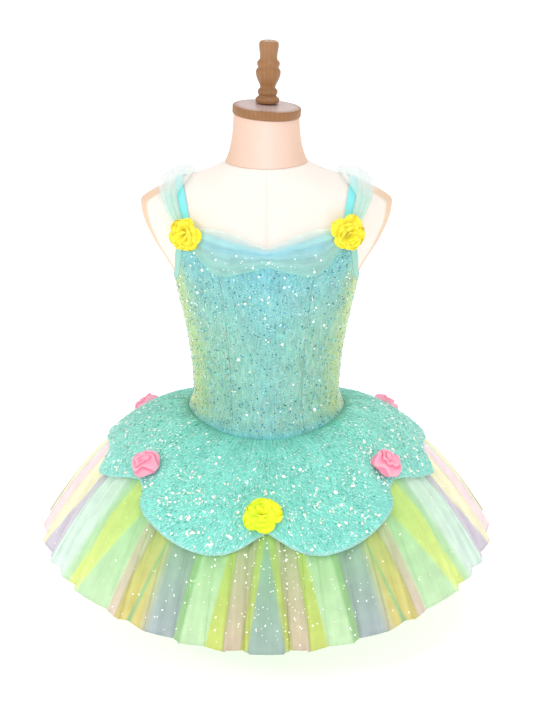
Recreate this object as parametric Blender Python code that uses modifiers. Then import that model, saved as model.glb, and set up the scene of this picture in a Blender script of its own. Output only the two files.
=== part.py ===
"""Child's ballet tutu leotard on a limbless table-top dress form.

Metres, +Z up, the garment's front faces -Y. The origin is the centre of the
stand's underside. Every cloth piece is a thin wall lofted over the dress form,
or over the skirt surface that leaves the hip seam and ends at the hem.
"""

import math

import bpy
import numpy as np
from mathutils import Vector

# Walls and gaps
SEAM_GAP = 0.0003
CLOTH = 0.0013          # leotard, bands and straps
SHEER = 0.0012          # tulle walls
FORM_CLEARANCE = 0.00099
BODICE_OUT = FORM_CLEARANCE + CLOTH
OVER_BODICE = BODICE_OUT + 0.0005
SEAM_TRIM = 0.00035     # cut off each side of a seam, as a wall's edge leans into it
STRAP_OUT = BODICE_OUT + 0.0003
SLEEVE_OUT = OVER_BODICE + SHEER + 0.0004
TULLE_START_OUT = BODICE_OUT + 0.0009
SHOULDER_FLOWER_OUT = OVER_BODICE + SHEER + 0.0012

# Dress form
FORM_BOTTOM = 0.130
NECK_SEAM = 0.5745
NECK_TOP = 0.6310
NECK_ROLL = math.radians(3.7)     # the neck top and cap dip to one side
CAP_RADIUS = 0.0415
CAP_THICK = 0.0105
CAP_DOME = 0.0030
FINIAL_LEAN = math.radians(1.6)
POLE_RADIUS = 0.011
POLE_OFFSET = 0.052               # passes through a leg opening, beside the gusset
BASE_RADIUS = 0.115
BASE_THICK = 0.012

# Leotard
SEAM_SIDE_Z = 0.2570              # hip seam at the sides
SEAM_DIP = 0.0175                 # and how far it dips at centre front and back
PRINCESS = 28.0                   # degrees from centre front
SIDE_SEAM = 90.0
STRAP_ANGLE = 39.0
GUSSET_WIDTH = 0.060
STATIONS = (0, 14, 28, 39, 45, 52, 61, 74, 90)   # degrees, a quarter of the way round

# Skirt
HEM_RADIUS = 0.2745
HEM_SIDE_EXTRA = 0.0130
HEM_Z = 0.0530
HEM_SIDE_RISE = 0.0370
DROOP = 2.2                       # how late the skirt turns down on its way out
DROOP_SIDE_LESS = 0.2
HEM_STEP = 0.010                  # share by which a pleat's outer strip reaches past its inner one
OVERSKIRT_LIFT = 0.0050
OVERSKIRT_CLOTH = 0.0015
SKIRT_FLOWER_OUT = OVERSKIRT_LIFT + OVERSKIRT_CLOTH + 0.0002

# Straps and sleeves
STRAP_END_X = 0.0955
STRAP_TOP_X = 0.1070
STRAP_HALF = 0.0045
SLEEVE_TURNS = (13.0, 167.0)      # degrees from the front, up and over the shoulder
STRAP_TURNS = (13.5, 166.5)
SLEEVE_PUFF = 0.0095

# Bust drape
DRAPE_FOLDS = 4
DRAPE_FOLD_HEIGHT = 0.0011
DRAPE_SAG = 0.0016
DRAPE_PINNED = 0.070              # distance from centre at which the folds are sewn flat
DRAPE_EASE = 0.030

# Flowers
SHOULDER_FLOWER = (0.0940, 0.4995, 0.0205, 0.0150)   # distance from centre, height, radius, depth
SKIRT_FLOWER_DEPTH = 0.0155

FORM_HEIGHTS = (
    0.1300, 0.1340, 0.1460, 0.1600, 0.1800, 0.2000, 0.2175, 0.2350, 0.2465, 0.2580, 0.2690,
    0.2800, 0.2995, 0.3190, 0.3400, 0.3610, 0.3820, 0.4030, 0.4195, 0.4360, 0.4510, 0.4650, 0.4740,
    0.4830, 0.4960, 0.5125, 0.5264, 0.5360, 0.5450, 0.5520, 0.5600, 0.5680, 0.5745,
)
BODY_ROWS = (  # height, half width, front depth, back depth
    (0.1300, 0.0930, 0.0730, 0.0760),
    (0.1340, 0.0985, 0.0780, 0.0815),
    (0.1600, 0.1070, 0.0850, 0.0890),
    (0.2000, 0.1095, 0.0870, 0.0910),
    (0.2350, 0.1040, 0.0825, 0.0840),
    (0.2580, 0.0972, 0.0780, 0.0765),
    (0.2800, 0.0902, 0.0740, 0.0700),
    (0.3190, 0.0925, 0.0740, 0.0700),
    (0.3610, 0.0985, 0.0770, 0.0745),
    (0.4030, 0.1070, 0.0815, 0.0795),
    (0.4360, 0.1152, 0.0840, 0.0830),
    (0.4510, 0.1230, 0.0830, 0.0840),
    (0.4800, 0.1405, 0.0775, 0.0830),
    (0.5125, 0.1530, 0.0680, 0.0780),
    (0.5264, 0.1545, 0.0620, 0.0730),
    (0.5360, 0.1430, 0.0580, 0.0690),
    (0.5450, 0.1250, 0.0545, 0.0650),
    (0.5520, 0.1050, 0.0520, 0.0610),
    (0.5600, 0.0800, 0.0500, 0.0570),
    (0.5680, 0.0605, 0.0490, 0.0530),
    (0.5745, 0.0505, 0.0480, 0.0500),
)
NECK_ROWS = (  # height, half width, front depth, back depth
    (0.5748, 0.0500, 0.0475, 0.0495),
    (0.5876, 0.0453, 0.0440, 0.0450),
    (0.6061, 0.0416, 0.0408, 0.0412),
    (0.6310, 0.0396, 0.0396, 0.0396),
)
TOP_EDGE = (  # degrees from centre front, height of the neck and armhole edge, band height
    (0, 0.4820, 0.0090),
    (10, 0.4875, 0.0090),
    (20, 0.4945, 0.0090),
    (30, 0.5010, 0.0090),
    (39, 0.5030, 0.0100),
    (46, 0.4900, 0.0120),
    (52, 0.4745, 0.0120),
    (65, 0.4490, 0.0090),
    (80, 0.4340, 0.0065),
    (90, 0.4310, 0.0060),
    (100, 0.4340, 0.0065),
    (115, 0.4490, 0.0090),
    (128, 0.4745, 0.0120),
    (134, 0.4900, 0.0120),
    (141, 0.5030, 0.0100),
    (155, 0.4960, 0.0080),
    (180, 0.4900, 0.0080),
)
LEG_LINE = (  # degrees from centre front or back, height of the leg opening's edge
    (0, 0.1345),
    (17, 0.1345),
    (30, 0.1440),
    (50, 0.1680),
    (70, 0.1860),
    (90, 0.1920),
)
DRAPE_EDGES = (  # distance from centre, upper edge, lower edge
    (0.0000, 0.4865, 0.4650),
    (0.0180, 0.4935, 0.4590),
    (0.0320, 0.5000, 0.4555),
    (0.0480, 0.5045, 0.4510),
    (0.0600, 0.5065, 0.4520),
    (0.0750, 0.5070, 0.4640),
    (0.0860, 0.5050, 0.4780),
    (0.0940, 0.5030, 0.4900),
)
SLEEVE_EDGES = (  # degrees up and over from the front, inner and outer edge from centre
    (13.0, 0.0960, 0.1060),
    (35.0, 0.1040, 0.1200),
    (50.0, 0.1075, 0.1255),
    (62.0, 0.1010, 0.1290),
    (76.0, 0.0930, 0.1312),
    (98.0, 0.0880, 0.1330),
    (118.0, 0.0875, 0.1320),
    (145.0, 0.0910, 0.1225),
    (167.0, 0.0960, 0.1060),
)
TOP_FOLDS = (  # the top layer's folds, degrees from centre front, the same on both sides
    4.0, 5.5, 10.2, 15.7, 21.6, 23.7, 30.9, 36.6, 38.8, 44.2, 54.6, 57.0, 61.1, 66.0, 68.0, 74.0, 80.0,
    82.5, 89.0, 95.0, 97.5, 104.0, 110.0, 112.5, 119.0, 126.0, 128.5, 136.0, 142.0, 144.5, 152.0, 158.0,
    160.5, 170.5, 176.0,
)
TULLE_LAYERS = (  # name, pleats (0: the folds above), drop, reach, hem lift, hem wave; shares out to the hem
    ("tulle_skirt_top", 0, 0.0062, 1.000, 0.0000, 0.0042, (0.0, 0.24, 0.46, 0.66, 0.84, 1.0)),
    ("tulle_skirt_middle", 34, 0.0150, 0.930, 0.0040, 0.0036, (0.0, 0.28, 0.54, 0.78, 1.0)),
    ("tulle_skirt_lower", 30, 0.0240, 0.850, 0.0080, 0.0036, (0.0, 0.28, 0.54, 0.78, 1.0)),
)
SEAM_WAVE = 0.0006
PETALS = (  # name, degrees of its two notches
    ("petal_front_left", 0.0, 51.5),
    ("petal_side_left", 51.5, 128.0),
    ("petal_back_left", 128.0, 180.0),
    ("petal_back_right", 180.0, 232.0),
    ("petal_side_right", 232.0, 308.5),
    ("petal_front_right", 308.5, 360.0),
)
OVERSKIRT_EDGE = (  # degrees from centre front, share out to the hem; its notches are the petals' ends
    (0.0, 0.622), (2.0, 0.637), (5.0, 0.662), (8.5, 0.690), (13.0, 0.714), (18.0, 0.725), (23.0, 0.721),
    (28.0, 0.711), (33.0, 0.694), (39.0, 0.665), (43.0, 0.640), (45.2, 0.618), (46.6, 0.585), (47.6, 0.556),
    (51.5, 0.524), (56.2, 0.545), (60.8, 0.571), (64.8, 0.594), (68.5, 0.612), (72.2, 0.625), (74.5, 0.606),
    (77.0, 0.562), (79.5, 0.532), (84.0, 0.524), (89.0, 0.532), (95.0, 0.552), (101.0, 0.577), (110.0, 0.600),
    (119.0, 0.598), (128.0, 0.565), (131.0, 0.600), (137.0, 0.635), (146.0, 0.655), (156.0, 0.655),
    (166.0, 0.640), (174.0, 0.615), (180.0, 0.585),
)
SKIRT_FLOWERS = (  # name, finish, degrees, share out to the hem, radius; one at each notch
    ("flower_skirt_front", "yellow_petal", 358.5, 0.550, 0.0228),
    ("flower_skirt_front_left", "pink_petal", 51.5, 0.445, 0.0195),
    ("flower_skirt_side_left", "pink_petal", 128, 0.520, 0.0195),
    ("flower_skirt_back", "pink_petal", 180, 0.520, 0.0195),
    ("flower_skirt_side_right", "pink_petal", 232, 0.520, 0.0195),
    ("flower_skirt_front_right", "pink_petal", 308.5, 0.445, 0.0195),
)
PLEAT_WIDTHS = (1.20, 0.85, 1.10, 0.75, 1.15, 1.00, 0.80, 1.15, 0.90, 1.10)
PLEAT_CREST = 0.62                # share of a lower pleat's width at which it is highest
FINIAL_PROFILE = (  # radius, height above the cap
    (0.0000, 0.0749),
    (0.0079, 0.0746),
    (0.0114, 0.0724),
    (0.0118, 0.0690),
    (0.0104, 0.0561),
    (0.0106, 0.0527),
    (0.0136, 0.0483),
    (0.0136, 0.0463),
    (0.0124, 0.0433),
    (0.0149, 0.0379),
    (0.0149, 0.0360),
    (0.0136, 0.0305),
    (0.0091, 0.0187),
    (0.0117, 0.0153),
    (0.0119, 0.0128),
    (0.0105, 0.0094),
    (0.0145, 0.0044),
    (0.0140, 0.0015),
    (0.0112, 0.0000),
    (0.0000, 0.0000),
)
FLOWER_RINGS = (  # share of radius, height share, petal lobing, turn in petals
    (0.45, 0.00, 0.00, 0.0),
    (0.98, 0.16, 0.10, 0.0),
    (0.92, 0.42, 0.10, 0.0),
    (0.66, 0.38, 0.04, 0.0),
    (0.60, 0.78, 0.12, 0.5),
    (0.34, 0.66, 0.08, 0.5),
    (0.24, 1.00, 0.14, 0.0),
)
FLOWER_COLUMNS = 15
FLOWER_PETALS = 5

COLOURS = {  # name: colour, roughness, metallic
    "form_cloth": ((0.93, 0.88, 0.80, 1.0), 0.75, 0.0),
    "turned_wood": ((0.52, 0.31, 0.15, 1.0), 0.45, 0.0),
    "stand_metal": ((0.80, 0.79, 0.76, 1.0), 0.40, 0.0),
    "sequin_cloth": ((0.36, 0.80, 0.78, 1.0), 0.35, 0.2),
    "overskirt_cloth": ((0.30, 0.84, 0.70, 1.0), 0.35, 0.2),
    "stretch_cloth": ((0.40, 0.87, 0.88, 1.0), 0.50, 0.0),
    "sheer_tulle": ((0.62, 0.88, 0.80, 1.0), 0.55, 0.0),
    "rainbow_tulle": ((0.66, 0.90, 0.62, 1.0), 0.55, 0.0),
    "yellow_petal": ((0.98, 0.88, 0.08, 1.0), 0.65, 0.0),
    "pink_petal": ((0.95, 0.52, 0.62, 1.0), 0.65, 0.0),
}


def clear_scene():
    """Empties the file, so that only this model is in it."""
    for item in list(bpy.data.objects):
        bpy.data.objects.remove(item)


def material(name):
    """The named finish, made once."""
    found = bpy.data.materials.get(name)
    if found:
        return found
    colour, roughness, metallic = COLOURS[name]
    made = bpy.data.materials.new(name)
    made.use_nodes = True
    shader = made.node_tree.nodes["Principled BSDF"]
    shader.inputs["Base Color"].default_value = colour
    shader.inputs["Roughness"].default_value = roughness
    shader.inputs["Metallic"].default_value = metallic
    return made


def smooth_table(rows, column, at):
    """A table's column read at any place on a smooth curve that never overshoots its rows."""
    table = np.array([[r[0], r[column]] for r in rows], float)
    x, y = table[:, 0], table[:, 1]
    step = np.diff(x)
    slope = np.diff(y) / step
    tangent = np.zeros(len(x))
    tangent[0], tangent[-1] = slope[0], slope[-1]
    product = slope[:-1] * slope[1:]
    total = slope[:-1] + slope[1:]
    inner = np.divide(2 * product, total, out=np.zeros_like(product), where=(product > 0) & (total != 0))
    tangent[1:-1] = inner
    at = np.clip(np.asarray(at, float), x[0], x[-1])
    k = np.clip(np.searchsorted(x, at, side="right") - 1, 0, len(step) - 1)
    t = (at - x[k]) / step[k]
    return (
        (1 + 2 * t) * (1 - t) ** 2 * y[k]
        + t * (1 - t) ** 2 * step[k] * tangent[k]
        + t * t * (3 - 2 * t) * y[k + 1]
        + t * t * (t - 1) * step[k] * tangent[k + 1]
    )


def body_size(z, front):
    """Half width and depth of the dress form at a height. front is true where the front depth holds."""
    depth = np.where(front, smooth_table(BODY_ROWS, 2, z), smooth_table(BODY_ROWS, 3, z))
    return smooth_table(BODY_ROWS, 1, z), depth


def body_point(degrees, z, out=0.0):
    """A point at an angle from centre front, out from the dress form along its level normal."""
    angle = np.radians(degrees)
    x_share, y_share = np.sin(angle), -np.cos(angle)
    width, depth = body_size(z, y_share < 0)
    normal = np.stack([x_share / width, y_share / depth], axis=-1)
    normal /= np.linalg.norm(normal, axis=-1, keepdims=True)
    level = np.stack([width * x_share, depth * y_share], axis=-1) + normal * np.asarray(out)[..., None]
    return np.concatenate([level, np.broadcast_to(z, level.shape[:-1])[..., None]], axis=-1)


def grid_object(name, rows, finish, around=False, flip=False):
    """An open surface through a grid of points: rows by columns, closed round its columns if around."""
    rows = np.asarray(rows, float)
    count, wide = rows.shape[:2]
    spans = wide if around else wide - 1
    faces = []
    for i in range(count - 1):
        for j in range(spans):
            k = (j + 1) % wide
            quad = (i * wide + j, i * wide + k, (i + 1) * wide + k, (i + 1) * wide + j)
            faces.append(quad[::-1] if flip else quad)
    mesh = bpy.data.meshes.new(name)
    mesh.from_pydata(rows.reshape(-1, 3).tolist(), [], faces)
    mesh.shade_smooth()
    made = bpy.data.objects.new(name, mesh)
    made.data.materials.append(material(finish))
    bpy.data.collections["tutu_leotard"].objects.link(made)
    return made


def cloth(name, rows, finish, thick=CLOTH, around=False, flip=False):
    """A cloth wall: its outer face is the grid, and Solidify gives the thickness behind it."""
    made = grid_object(name, rows, finish, around, flip)
    wall = made.modifiers.new("wall", "SOLIDIFY")
    wall.thickness = thick
    wall.offset = -1
    return made


def closed_loft(name, rings, finish):
    """A solid through level rings, from the lowest up, with a flat face at each end."""
    made = grid_object(name, rings, finish, around=True)
    mesh = made.data
    wide = len(rings[0])
    last = (len(rings) - 1) * wide
    points = [tuple(v.co) for v in mesh.vertices]
    faces = [tuple(p.vertices) for p in mesh.polygons]
    faces.append(tuple(range(wide))[::-1])
    faces.append(tuple(range(last, last + wide)))
    mesh.clear_geometry()
    mesh.from_pydata(points, [], faces)
    mesh.set_sharp_from_angle(angle=math.radians(50))
    return made


def turned(name, profile, finish, steps):
    """A turned piece: the profile runs down its outer side from top to bottom."""
    mesh = bpy.data.meshes.new(name)
    points = [(radius, 0.0, height) for radius, height in profile]
    mesh.from_pydata(points, [(i, i + 1) for i in range(len(points) - 1)], [])
    made = bpy.data.objects.new(name, mesh)
    made.data.materials.append(material(finish))
    bpy.data.collections["tutu_leotard"].objects.link(made)
    screw = made.modifiers.new("turn", "SCREW")
    screw.steps = steps
    screw.render_steps = steps
    screw.use_merge_vertices = True
    screw.merge_threshold = 0.00005
    return made


# The dress form


def make_form():
    """Torso with its shoulder ends, and the neck above the neck seam."""
    columns = stations(0, 359)
    closed_loft("form_torso", [body_point(columns, z) for z in FORM_HEIGHTS], "form_cloth")
    rings = []
    for z, width, front, back in NECK_ROWS:
        angle = np.radians(columns)
        depth = np.where(np.cos(angle) > 0, front, back)
        x, y = width * np.sin(angle), -depth * np.cos(angle)
        roll = math.tan(NECK_ROLL) * (z - NECK_SEAM) / (NECK_TOP - NECK_SEAM)
        rings.append(np.stack([x, y, z - x * max(roll, 0.0)], axis=-1))
    closed_loft("form_neck", rings, "form_cloth")


def make_cap_and_finial():
    """Wooden cap on the neck, and the turned finial that stands on it."""
    edge, top = 0.0012, CAP_THICK
    profile = (
        (0.0000, top + CAP_DOME),
        (CAP_RADIUS * 0.40, top + CAP_DOME),
        (CAP_RADIUS * 0.75, top + CAP_DOME * 0.6),
        (CAP_RADIUS - edge, top),
        (CAP_RADIUS, top - edge),
        (CAP_RADIUS, edge),
        (CAP_RADIUS - edge, 0.0),
        (0.0000, 0.0),
    )
    cap = turned("neck_cap", profile, "turned_wood", 28)
    cap.location = (0.0, 0.0, NECK_TOP + SEAM_GAP)
    cap.rotation_euler = (0.0, NECK_ROLL, 0.0)
    finial = turned("finial", FINIAL_PROFILE, "turned_wood", 12)
    foot_dip = FINIAL_PROFILE[-2][0] * math.tan(NECK_ROLL - FINIAL_LEAN)
    finial.location = (0.001, 0.0, NECK_TOP + CAP_THICK + CAP_DOME + 2 * SEAM_GAP + foot_dip)
    finial.rotation_euler = (0.0, FINIAL_LEAN, 0.0)


def make_stand():
    """Round base and the short pole, which passes beside the gusset."""
    edge = 0.002
    profile = (
        (0.0000, BASE_THICK),
        (BASE_RADIUS - edge * 2, BASE_THICK),
        (BASE_RADIUS - edge * 0.5, BASE_THICK - edge * 0.6),
        (BASE_RADIUS, BASE_THICK - edge * 2),
        (BASE_RADIUS, 0.0),
        (0.0000, 0.0),
    )
    turned("stand_base", profile, "stand_metal", 36)
    low, high = BASE_THICK + SEAM_GAP, FORM_BOTTOM - SEAM_GAP
    pole = turned("stand_pole", ((0, high), (POLE_RADIUS, high), (POLE_RADIUS, low), (0, low)), "stand_metal", 16)
    pole.location = (POLE_OFFSET, 0.0, 0.0)


# The leotard


def seam_height(degrees):
    """Height of the hip seam: level at the sides, lower at centre front and back."""
    return SEAM_SIDE_Z - SEAM_DIP * np.cos(np.radians(degrees)) ** 2


def folded(degrees):
    """An angle taken to 0 at centre front and 180 at centre back."""
    return np.abs(np.mod(np.asarray(degrees, float) + 180, 360) - 180)


def top_edge(degrees):
    """Height of the leotard's neck and armhole edge."""
    return smooth_table(TOP_EDGE, 1, folded(degrees))


def band_height(degrees):
    """Height of the band along that edge."""
    return smooth_table(TOP_EDGE, 2, folded(degrees))


def stations(start, end):
    """The shared angles between two angles, so that neighbours' edges run along the same chords."""
    quarter = np.array(STATIONS, float)
    half = np.concatenate([quarter, 180 - quarter[::-1][1:]])
    whole = np.concatenate([half - 360, -half, half, 360 - half, half + 360])
    found = np.unique(whole)
    return found[(found >= start) & (found <= end)]


def panel(name, start, end, low, high, out, rows, finish):
    """A cloth panel on the form between two angles, from low(angle) up to high(angle)."""
    trim = math.degrees(SEAM_TRIM / min(body_size(high(np.array([start, end])), True)[1]))
    angles = stations(start, end)
    angles[0] += trim
    angles[-1] -= trim
    shares = np.linspace(0, 1, rows + 1)[:, None]
    z = low(angles)[None, :] * (1 - shares) + high(angles)[None, :] * shares
    points = body_point(np.broadcast_to(angles, z.shape), z, out)
    return cloth(name, points, finish)


def make_leotard():
    """Five bodice panels, the bands on their edges, the brief below the hip seam and its gusset."""
    def low(a):
        return seam_height(a) + SEAM_GAP

    def high(a):
        return top_edge(a) - band_height(a) - SEAM_GAP

    panels = (
        ("bodice_front_centre", -PRINCESS, PRINCESS),
        ("bodice_front_left", PRINCESS, SIDE_SEAM),
        ("bodice_front_right", -SIDE_SEAM, -PRINCESS),
        ("bodice_back_left", SIDE_SEAM, 180),
        ("bodice_back_right", 180, 360 - SIDE_SEAM),
    )
    for name, start, end in panels:
        panel(name, start, end, low, high, BODICE_OUT, 12, "sequin_cloth")

    def band_foot(a):
        return top_edge(a) - band_height(a)

    bands = (
        ("neck_band_front", -STRAP_ANGLE, STRAP_ANGLE),
        ("armhole_band_left", STRAP_ANGLE, 180 - STRAP_ANGLE),
        ("armhole_band_right", 180 + STRAP_ANGLE, 360 - STRAP_ANGLE),
        ("neck_band_back", 180 - STRAP_ANGLE, 180 + STRAP_ANGLE),
    )
    for name, start, end in bands:
        panel(name, start, end, band_foot, top_edge, BODICE_OUT, 1, "stretch_cloth")

    def leg(a):
        from_centre = np.minimum(folded(a), 180 - folded(a))
        return smooth_table(LEG_LINE, 1, from_centre)

    def seam(a):
        return seam_height(a) - SEAM_GAP

    for name, start, end in (("brief_front", -90, 90), ("brief_back", 90, 270)):
        panel(name, start, end, leg, seam, BODICE_OUT, 7, "stretch_cloth")
    make_gusset()


def make_gusset():
    """The strip under the form's flat bottom that joins the brief's front and back."""
    lowest = FORM_BOTTOM - FORM_CLEARANCE - CLOTH
    top = LEG_LINE[0][1] - SEAM_GAP
    front = -body_size(top, True)[1] - BODICE_OUT
    back = body_size(top, False)[1] + BODICE_OUT
    corner = 0.0045
    profile = [
        (front, top),
        (front + corner * 0.35, lowest + corner * 0.35),
        (front + corner * 1.6, lowest),
        (front * 0.5, lowest - 0.0010),
        (0.0, lowest - 0.0015),
        (back * 0.5, lowest - 0.0010),
        (back - corner * 1.6, lowest),
        (back - corner * 0.35, lowest + corner * 0.35),
        (back, top),
    ]
    across = np.linspace(-1, 1, 5)
    rows = []
    for y, z in profile:
        half = GUSSET_WIDTH / 2 * (1 - 0.22 * (1 - abs(y) / back))
        inset = 0.0022 * across ** 2 * (abs(y) > back * 0.9)
        rows.append([(half * a, y - math.copysign(i, y), z) for a, i in zip(across, inset)])
    cloth("gusset", rows, "stretch_cloth", flip=True)


# Straps, sleeves and the bust drape


def ray_point(x, degrees, out):
    """Where a ray in the plane of x, turned from the front up and over, leaves the form, moved out."""
    centre = Vector((x, 0.0, 0.490))
    ray = Vector((0.0, -math.cos(math.radians(degrees)), math.sin(math.radians(degrees))))
    near, far = 0.0, 0.12
    for _ in range(40):
        middle = (near + far) / 2
        point = centre + ray * middle
        width, depth = body_size(point.z, point.y < 0)
        inside = (point.x / width) ** 2 + (point.y / depth) ** 2 < 1 and point.z < NECK_SEAM
        near, far = (middle, far) if inside else (near, middle)
    return centre + ray * (near + out)


def make_straps_and_sleeves():
    """On each shoulder, a flat stretch strap and the puffed tulle band gathered over it."""
    sleeve_stations, strap_stations = 14, 17
    for side, sign in (("left", 1), ("right", -1)):
        rows = []
        for turn in np.linspace(*STRAP_TURNS, strap_stations):
            x = STRAP_END_X + (STRAP_TOP_X - STRAP_END_X) * math.sin(math.radians(turn)) ** 2
            rows.append([ray_point(x + STRAP_HALF * k, turn, STRAP_OUT) for k in (-1, 0, 1)])
        rows = np.array([[tuple(p) for p in row] for row in rows])
        rows[..., 0] *= sign
        cloth("strap_" + side, rows, "stretch_cloth", flip=sign < 0)

        rows = []
        first, last = SLEEVE_TURNS
        for turn in np.linspace(first, last, sleeve_stations):
            rise = max(0.0, math.sin(math.pi * (turn - first) / (last - first)))
            inner, outer = (float(smooth_table(SLEEVE_EDGES, column, turn)) for column in (1, 2))
            row = []
            for k in np.linspace(-1, 1, 9):
                puff = SLEEVE_PUFF * rise ** 1.3 * (1 - k * k) + 0.0014 * rise * math.cos(4 * math.pi * k)
                base = SLEEVE_OUT + 0.0016 * rise
                x = (inner + outer) / 2 + (outer - inner) / 2 * k
                row.append(tuple(ray_point(x, turn, base + max(puff, 0.0))))
            rows.append(row)
        rows = np.array(rows)
        rows[..., 0] *= sign
        cloth("sleeve_" + side, rows, "sheer_tulle", thick=SHEER, flip=sign < 0)


def front_point(x, z, out):
    """A point on the form's front at a distance from centre and a height, moved out."""
    width, depth = body_size(z, True)
    share = np.clip(x / width, -0.98, 0.98)
    degrees = np.degrees(np.arcsin(share))
    return body_point(degrees, z, out)


def make_drape():
    """Sheer tulle across the bust, gathered under the shoulder flowers, with soft lengthwise folds."""
    half = DRAPE_EDGES[-1][0]
    across = np.linspace(-half, half, 19)
    share = np.linspace(0, 1, 9)[:, None]
    upper = smooth_table(DRAPE_EDGES, 1, np.abs(across))[None, :]
    lower = smooth_table(DRAPE_EDGES, 2, np.abs(across))[None, :]
    z = lower * (1 - share) + upper * share
    slack = np.clip((DRAPE_PINNED - np.abs(across)) / DRAPE_EASE, 0, 1)[None, :]
    folds = DRAPE_FOLD_HEIGHT * (1 + np.cos(share * math.pi * 2 * DRAPE_FOLDS))
    folds = folds + DRAPE_SAG * np.sin(share * math.pi)
    out = OVER_BODICE + SHEER + folds * slack
    points = front_point(np.broadcast_to(across, z.shape), z, out)
    cloth("bust_drape", points, "sheer_tulle", thick=SHEER)


# The skirt


def skirt_point(degrees, share, drop=0.0, reach=1.0, lift=0.0, out=0.0):
    """A point of the skirt at a share of the way from the hip seam to the hem.

    It runs out level at the seam and turns down towards the hem. drop lowers
    its start, reach shortens its way out, lift raises its hem, and out moves it
    along the skirt's own normal.
    """
    degrees, share, out = np.broadcast_arrays(*(np.asarray(v, float) for v in (degrees, share, out)))

    def surface(at_degrees, at_share):
        angle = np.radians(at_degrees)
        side = np.sin(angle) ** 2
        seam_z = seam_height(at_degrees)
        start = body_point(at_degrees, seam_z - drop, TULLE_START_OUT)
        radius = HEM_RADIUS + HEM_SIDE_EXTRA * side
        end_x, end_y = radius * np.sin(angle), -radius * np.cos(angle)
        end_z = HEM_Z + HEM_SIDE_RISE * side + lift
        way = at_share * reach
        x = start[..., 0] + (end_x - start[..., 0]) * way
        y = start[..., 1] + (end_y - start[..., 1]) * way
        droop = DROOP - DROOP_SIDE_LESS * side
        z = start[..., 2] + (end_z - start[..., 2]) * (0.10 * at_share + 0.90 * np.abs(at_share) ** droop)
        return np.stack([x, y, z], axis=-1)

    step = 0.01
    point = surface(degrees, share)
    along = surface(degrees, share + step) - surface(degrees, share - step)
    round_ = surface(degrees + step, share) - surface(degrees - step, share)
    normal = np.cross(round_, along)
    normal /= np.linalg.norm(normal, axis=-1, keepdims=True)
    normal *= np.where(normal[..., 2:] < 0, -1.0, 1.0)
    return point + normal * out[..., None]


def top_folds():
    """The top layer's folds all round, high and low in turn, mirrored about centre front."""
    half = np.array(TOP_FOLDS)
    level = (np.arange(len(half)) + 1) % 2
    return np.concatenate([half, 360 - half[::-1]]), np.concatenate([level, level[::-1]])


def lower_folds(count):
    """A hidden layer's folds all round, high and low in turn, at widths that follow the repeat."""
    widths = np.resize(PLEAT_WIDTHS, count)
    edges = np.concatenate([[0], np.cumsum(widths)]) / widths.sum() * 360
    crests = edges[:-1] + PLEAT_CREST * np.diff(edges)
    return np.stack([edges[:-1], crests], axis=1).ravel(), np.tile([0, 1], count)


def make_tulle():
    """Three pleated tulle layers, one under another, each sewn to the leotard at the hip seam."""
    for name, count, drop, reach, lift, hem_wave, shares in TULLE_LAYERS:
        angles, levels = lower_folds(count) if count else top_folds()
        rows = []
        for share in shares:
            wave = SEAM_WAVE + (hem_wave - SEAM_WAVE) * share ** 1.5
            step = HEM_STEP * share ** 6 * levels
            rows.append(skirt_point(angles, share + step, drop, reach, lift, wave * (2 * levels - 1)))
        cloth(name, rows[::-1], "rainbow_tulle", thick=SHEER, around=True)


def petal_edge(start, end):
    """The overskirt's edge between two notches: angles all round, and shares out to the hem."""
    half = np.array(OVERSKIRT_EDGE)
    whole = np.concatenate([half, (360.0, 0.0) + half[-2::-1] * (-1.0, 1.0)])
    return whole[(whole[:, 0] >= start) & (whole[:, 0] <= end)].T


def make_overskirt():
    """Petals side by side all round, lying over the tulle."""
    rows_count = 5
    trim = math.degrees(SEAM_GAP / 2 / 0.09)
    for name, start, end in PETALS:
        degrees, edge = petal_edge(start, end)
        angles = start + trim + (degrees - start) / (end - start) * (end - start - 2 * trim)
        rows = []
        for share in np.linspace(0, 1, rows_count + 1):
            lift = OVERSKIRT_LIFT * min(1.0, 0.25 + share * 3) + OVERSKIRT_CLOTH - 0.0004
            rows.append(skirt_point(angles, edge * share, out=lift))
        cloth(name, rows[::-1], "overskirt_cloth", thick=OVERSKIRT_CLOTH)


# The flowers


def flower(name, finish, centre, normal, radius, height):
    """A closed rosette of two petal whorls round a bud, flat behind, facing along its normal."""
    angles = np.arange(FLOWER_COLUMNS) * 2 * math.pi / FLOWER_COLUMNS
    points = [(0.0, 0.0, 0.0)]
    for share, lift, lobing, turn in FLOWER_RINGS:
        lobes = np.abs(np.cos((angles * FLOWER_PETALS + 2 * math.pi * turn) / 2))
        spread = radius * share * (1 + lobing * (2 * lobes - 1))
        up = height * lift * (1 + 0.10 * (2 * lobes - 1))
        points += [(s * math.cos(a), s * math.sin(a), h) for s, a, h in zip(spread, angles, up)]
    points.append((0.0, 0.0, height * 0.86))
    last = len(points) - 1
    n = FLOWER_COLUMNS
    faces = []
    for j in range(n):
        k = (j + 1) % n
        faces.append((0, 1 + k, 1 + j))
        for i in range(len(FLOWER_RINGS) - 1):
            low, high = 1 + i * n, 1 + (i + 1) * n
            faces.append((low + j, low + k, high + k, high + j))
        high = 1 + (len(FLOWER_RINGS) - 1) * n
        faces.append((high + j, high + k, last))
    mesh = bpy.data.meshes.new(name)
    mesh.from_pydata(points, [], faces)
    mesh.shade_smooth()
    made = bpy.data.objects.new(name, mesh)
    made.data.materials.append(material(finish))
    bpy.data.collections["tutu_leotard"].objects.link(made)
    made.rotation_mode = "QUATERNION"
    made.rotation_quaternion = Vector(normal).to_track_quat("Z", "Y")
    made.location = centre


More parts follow.
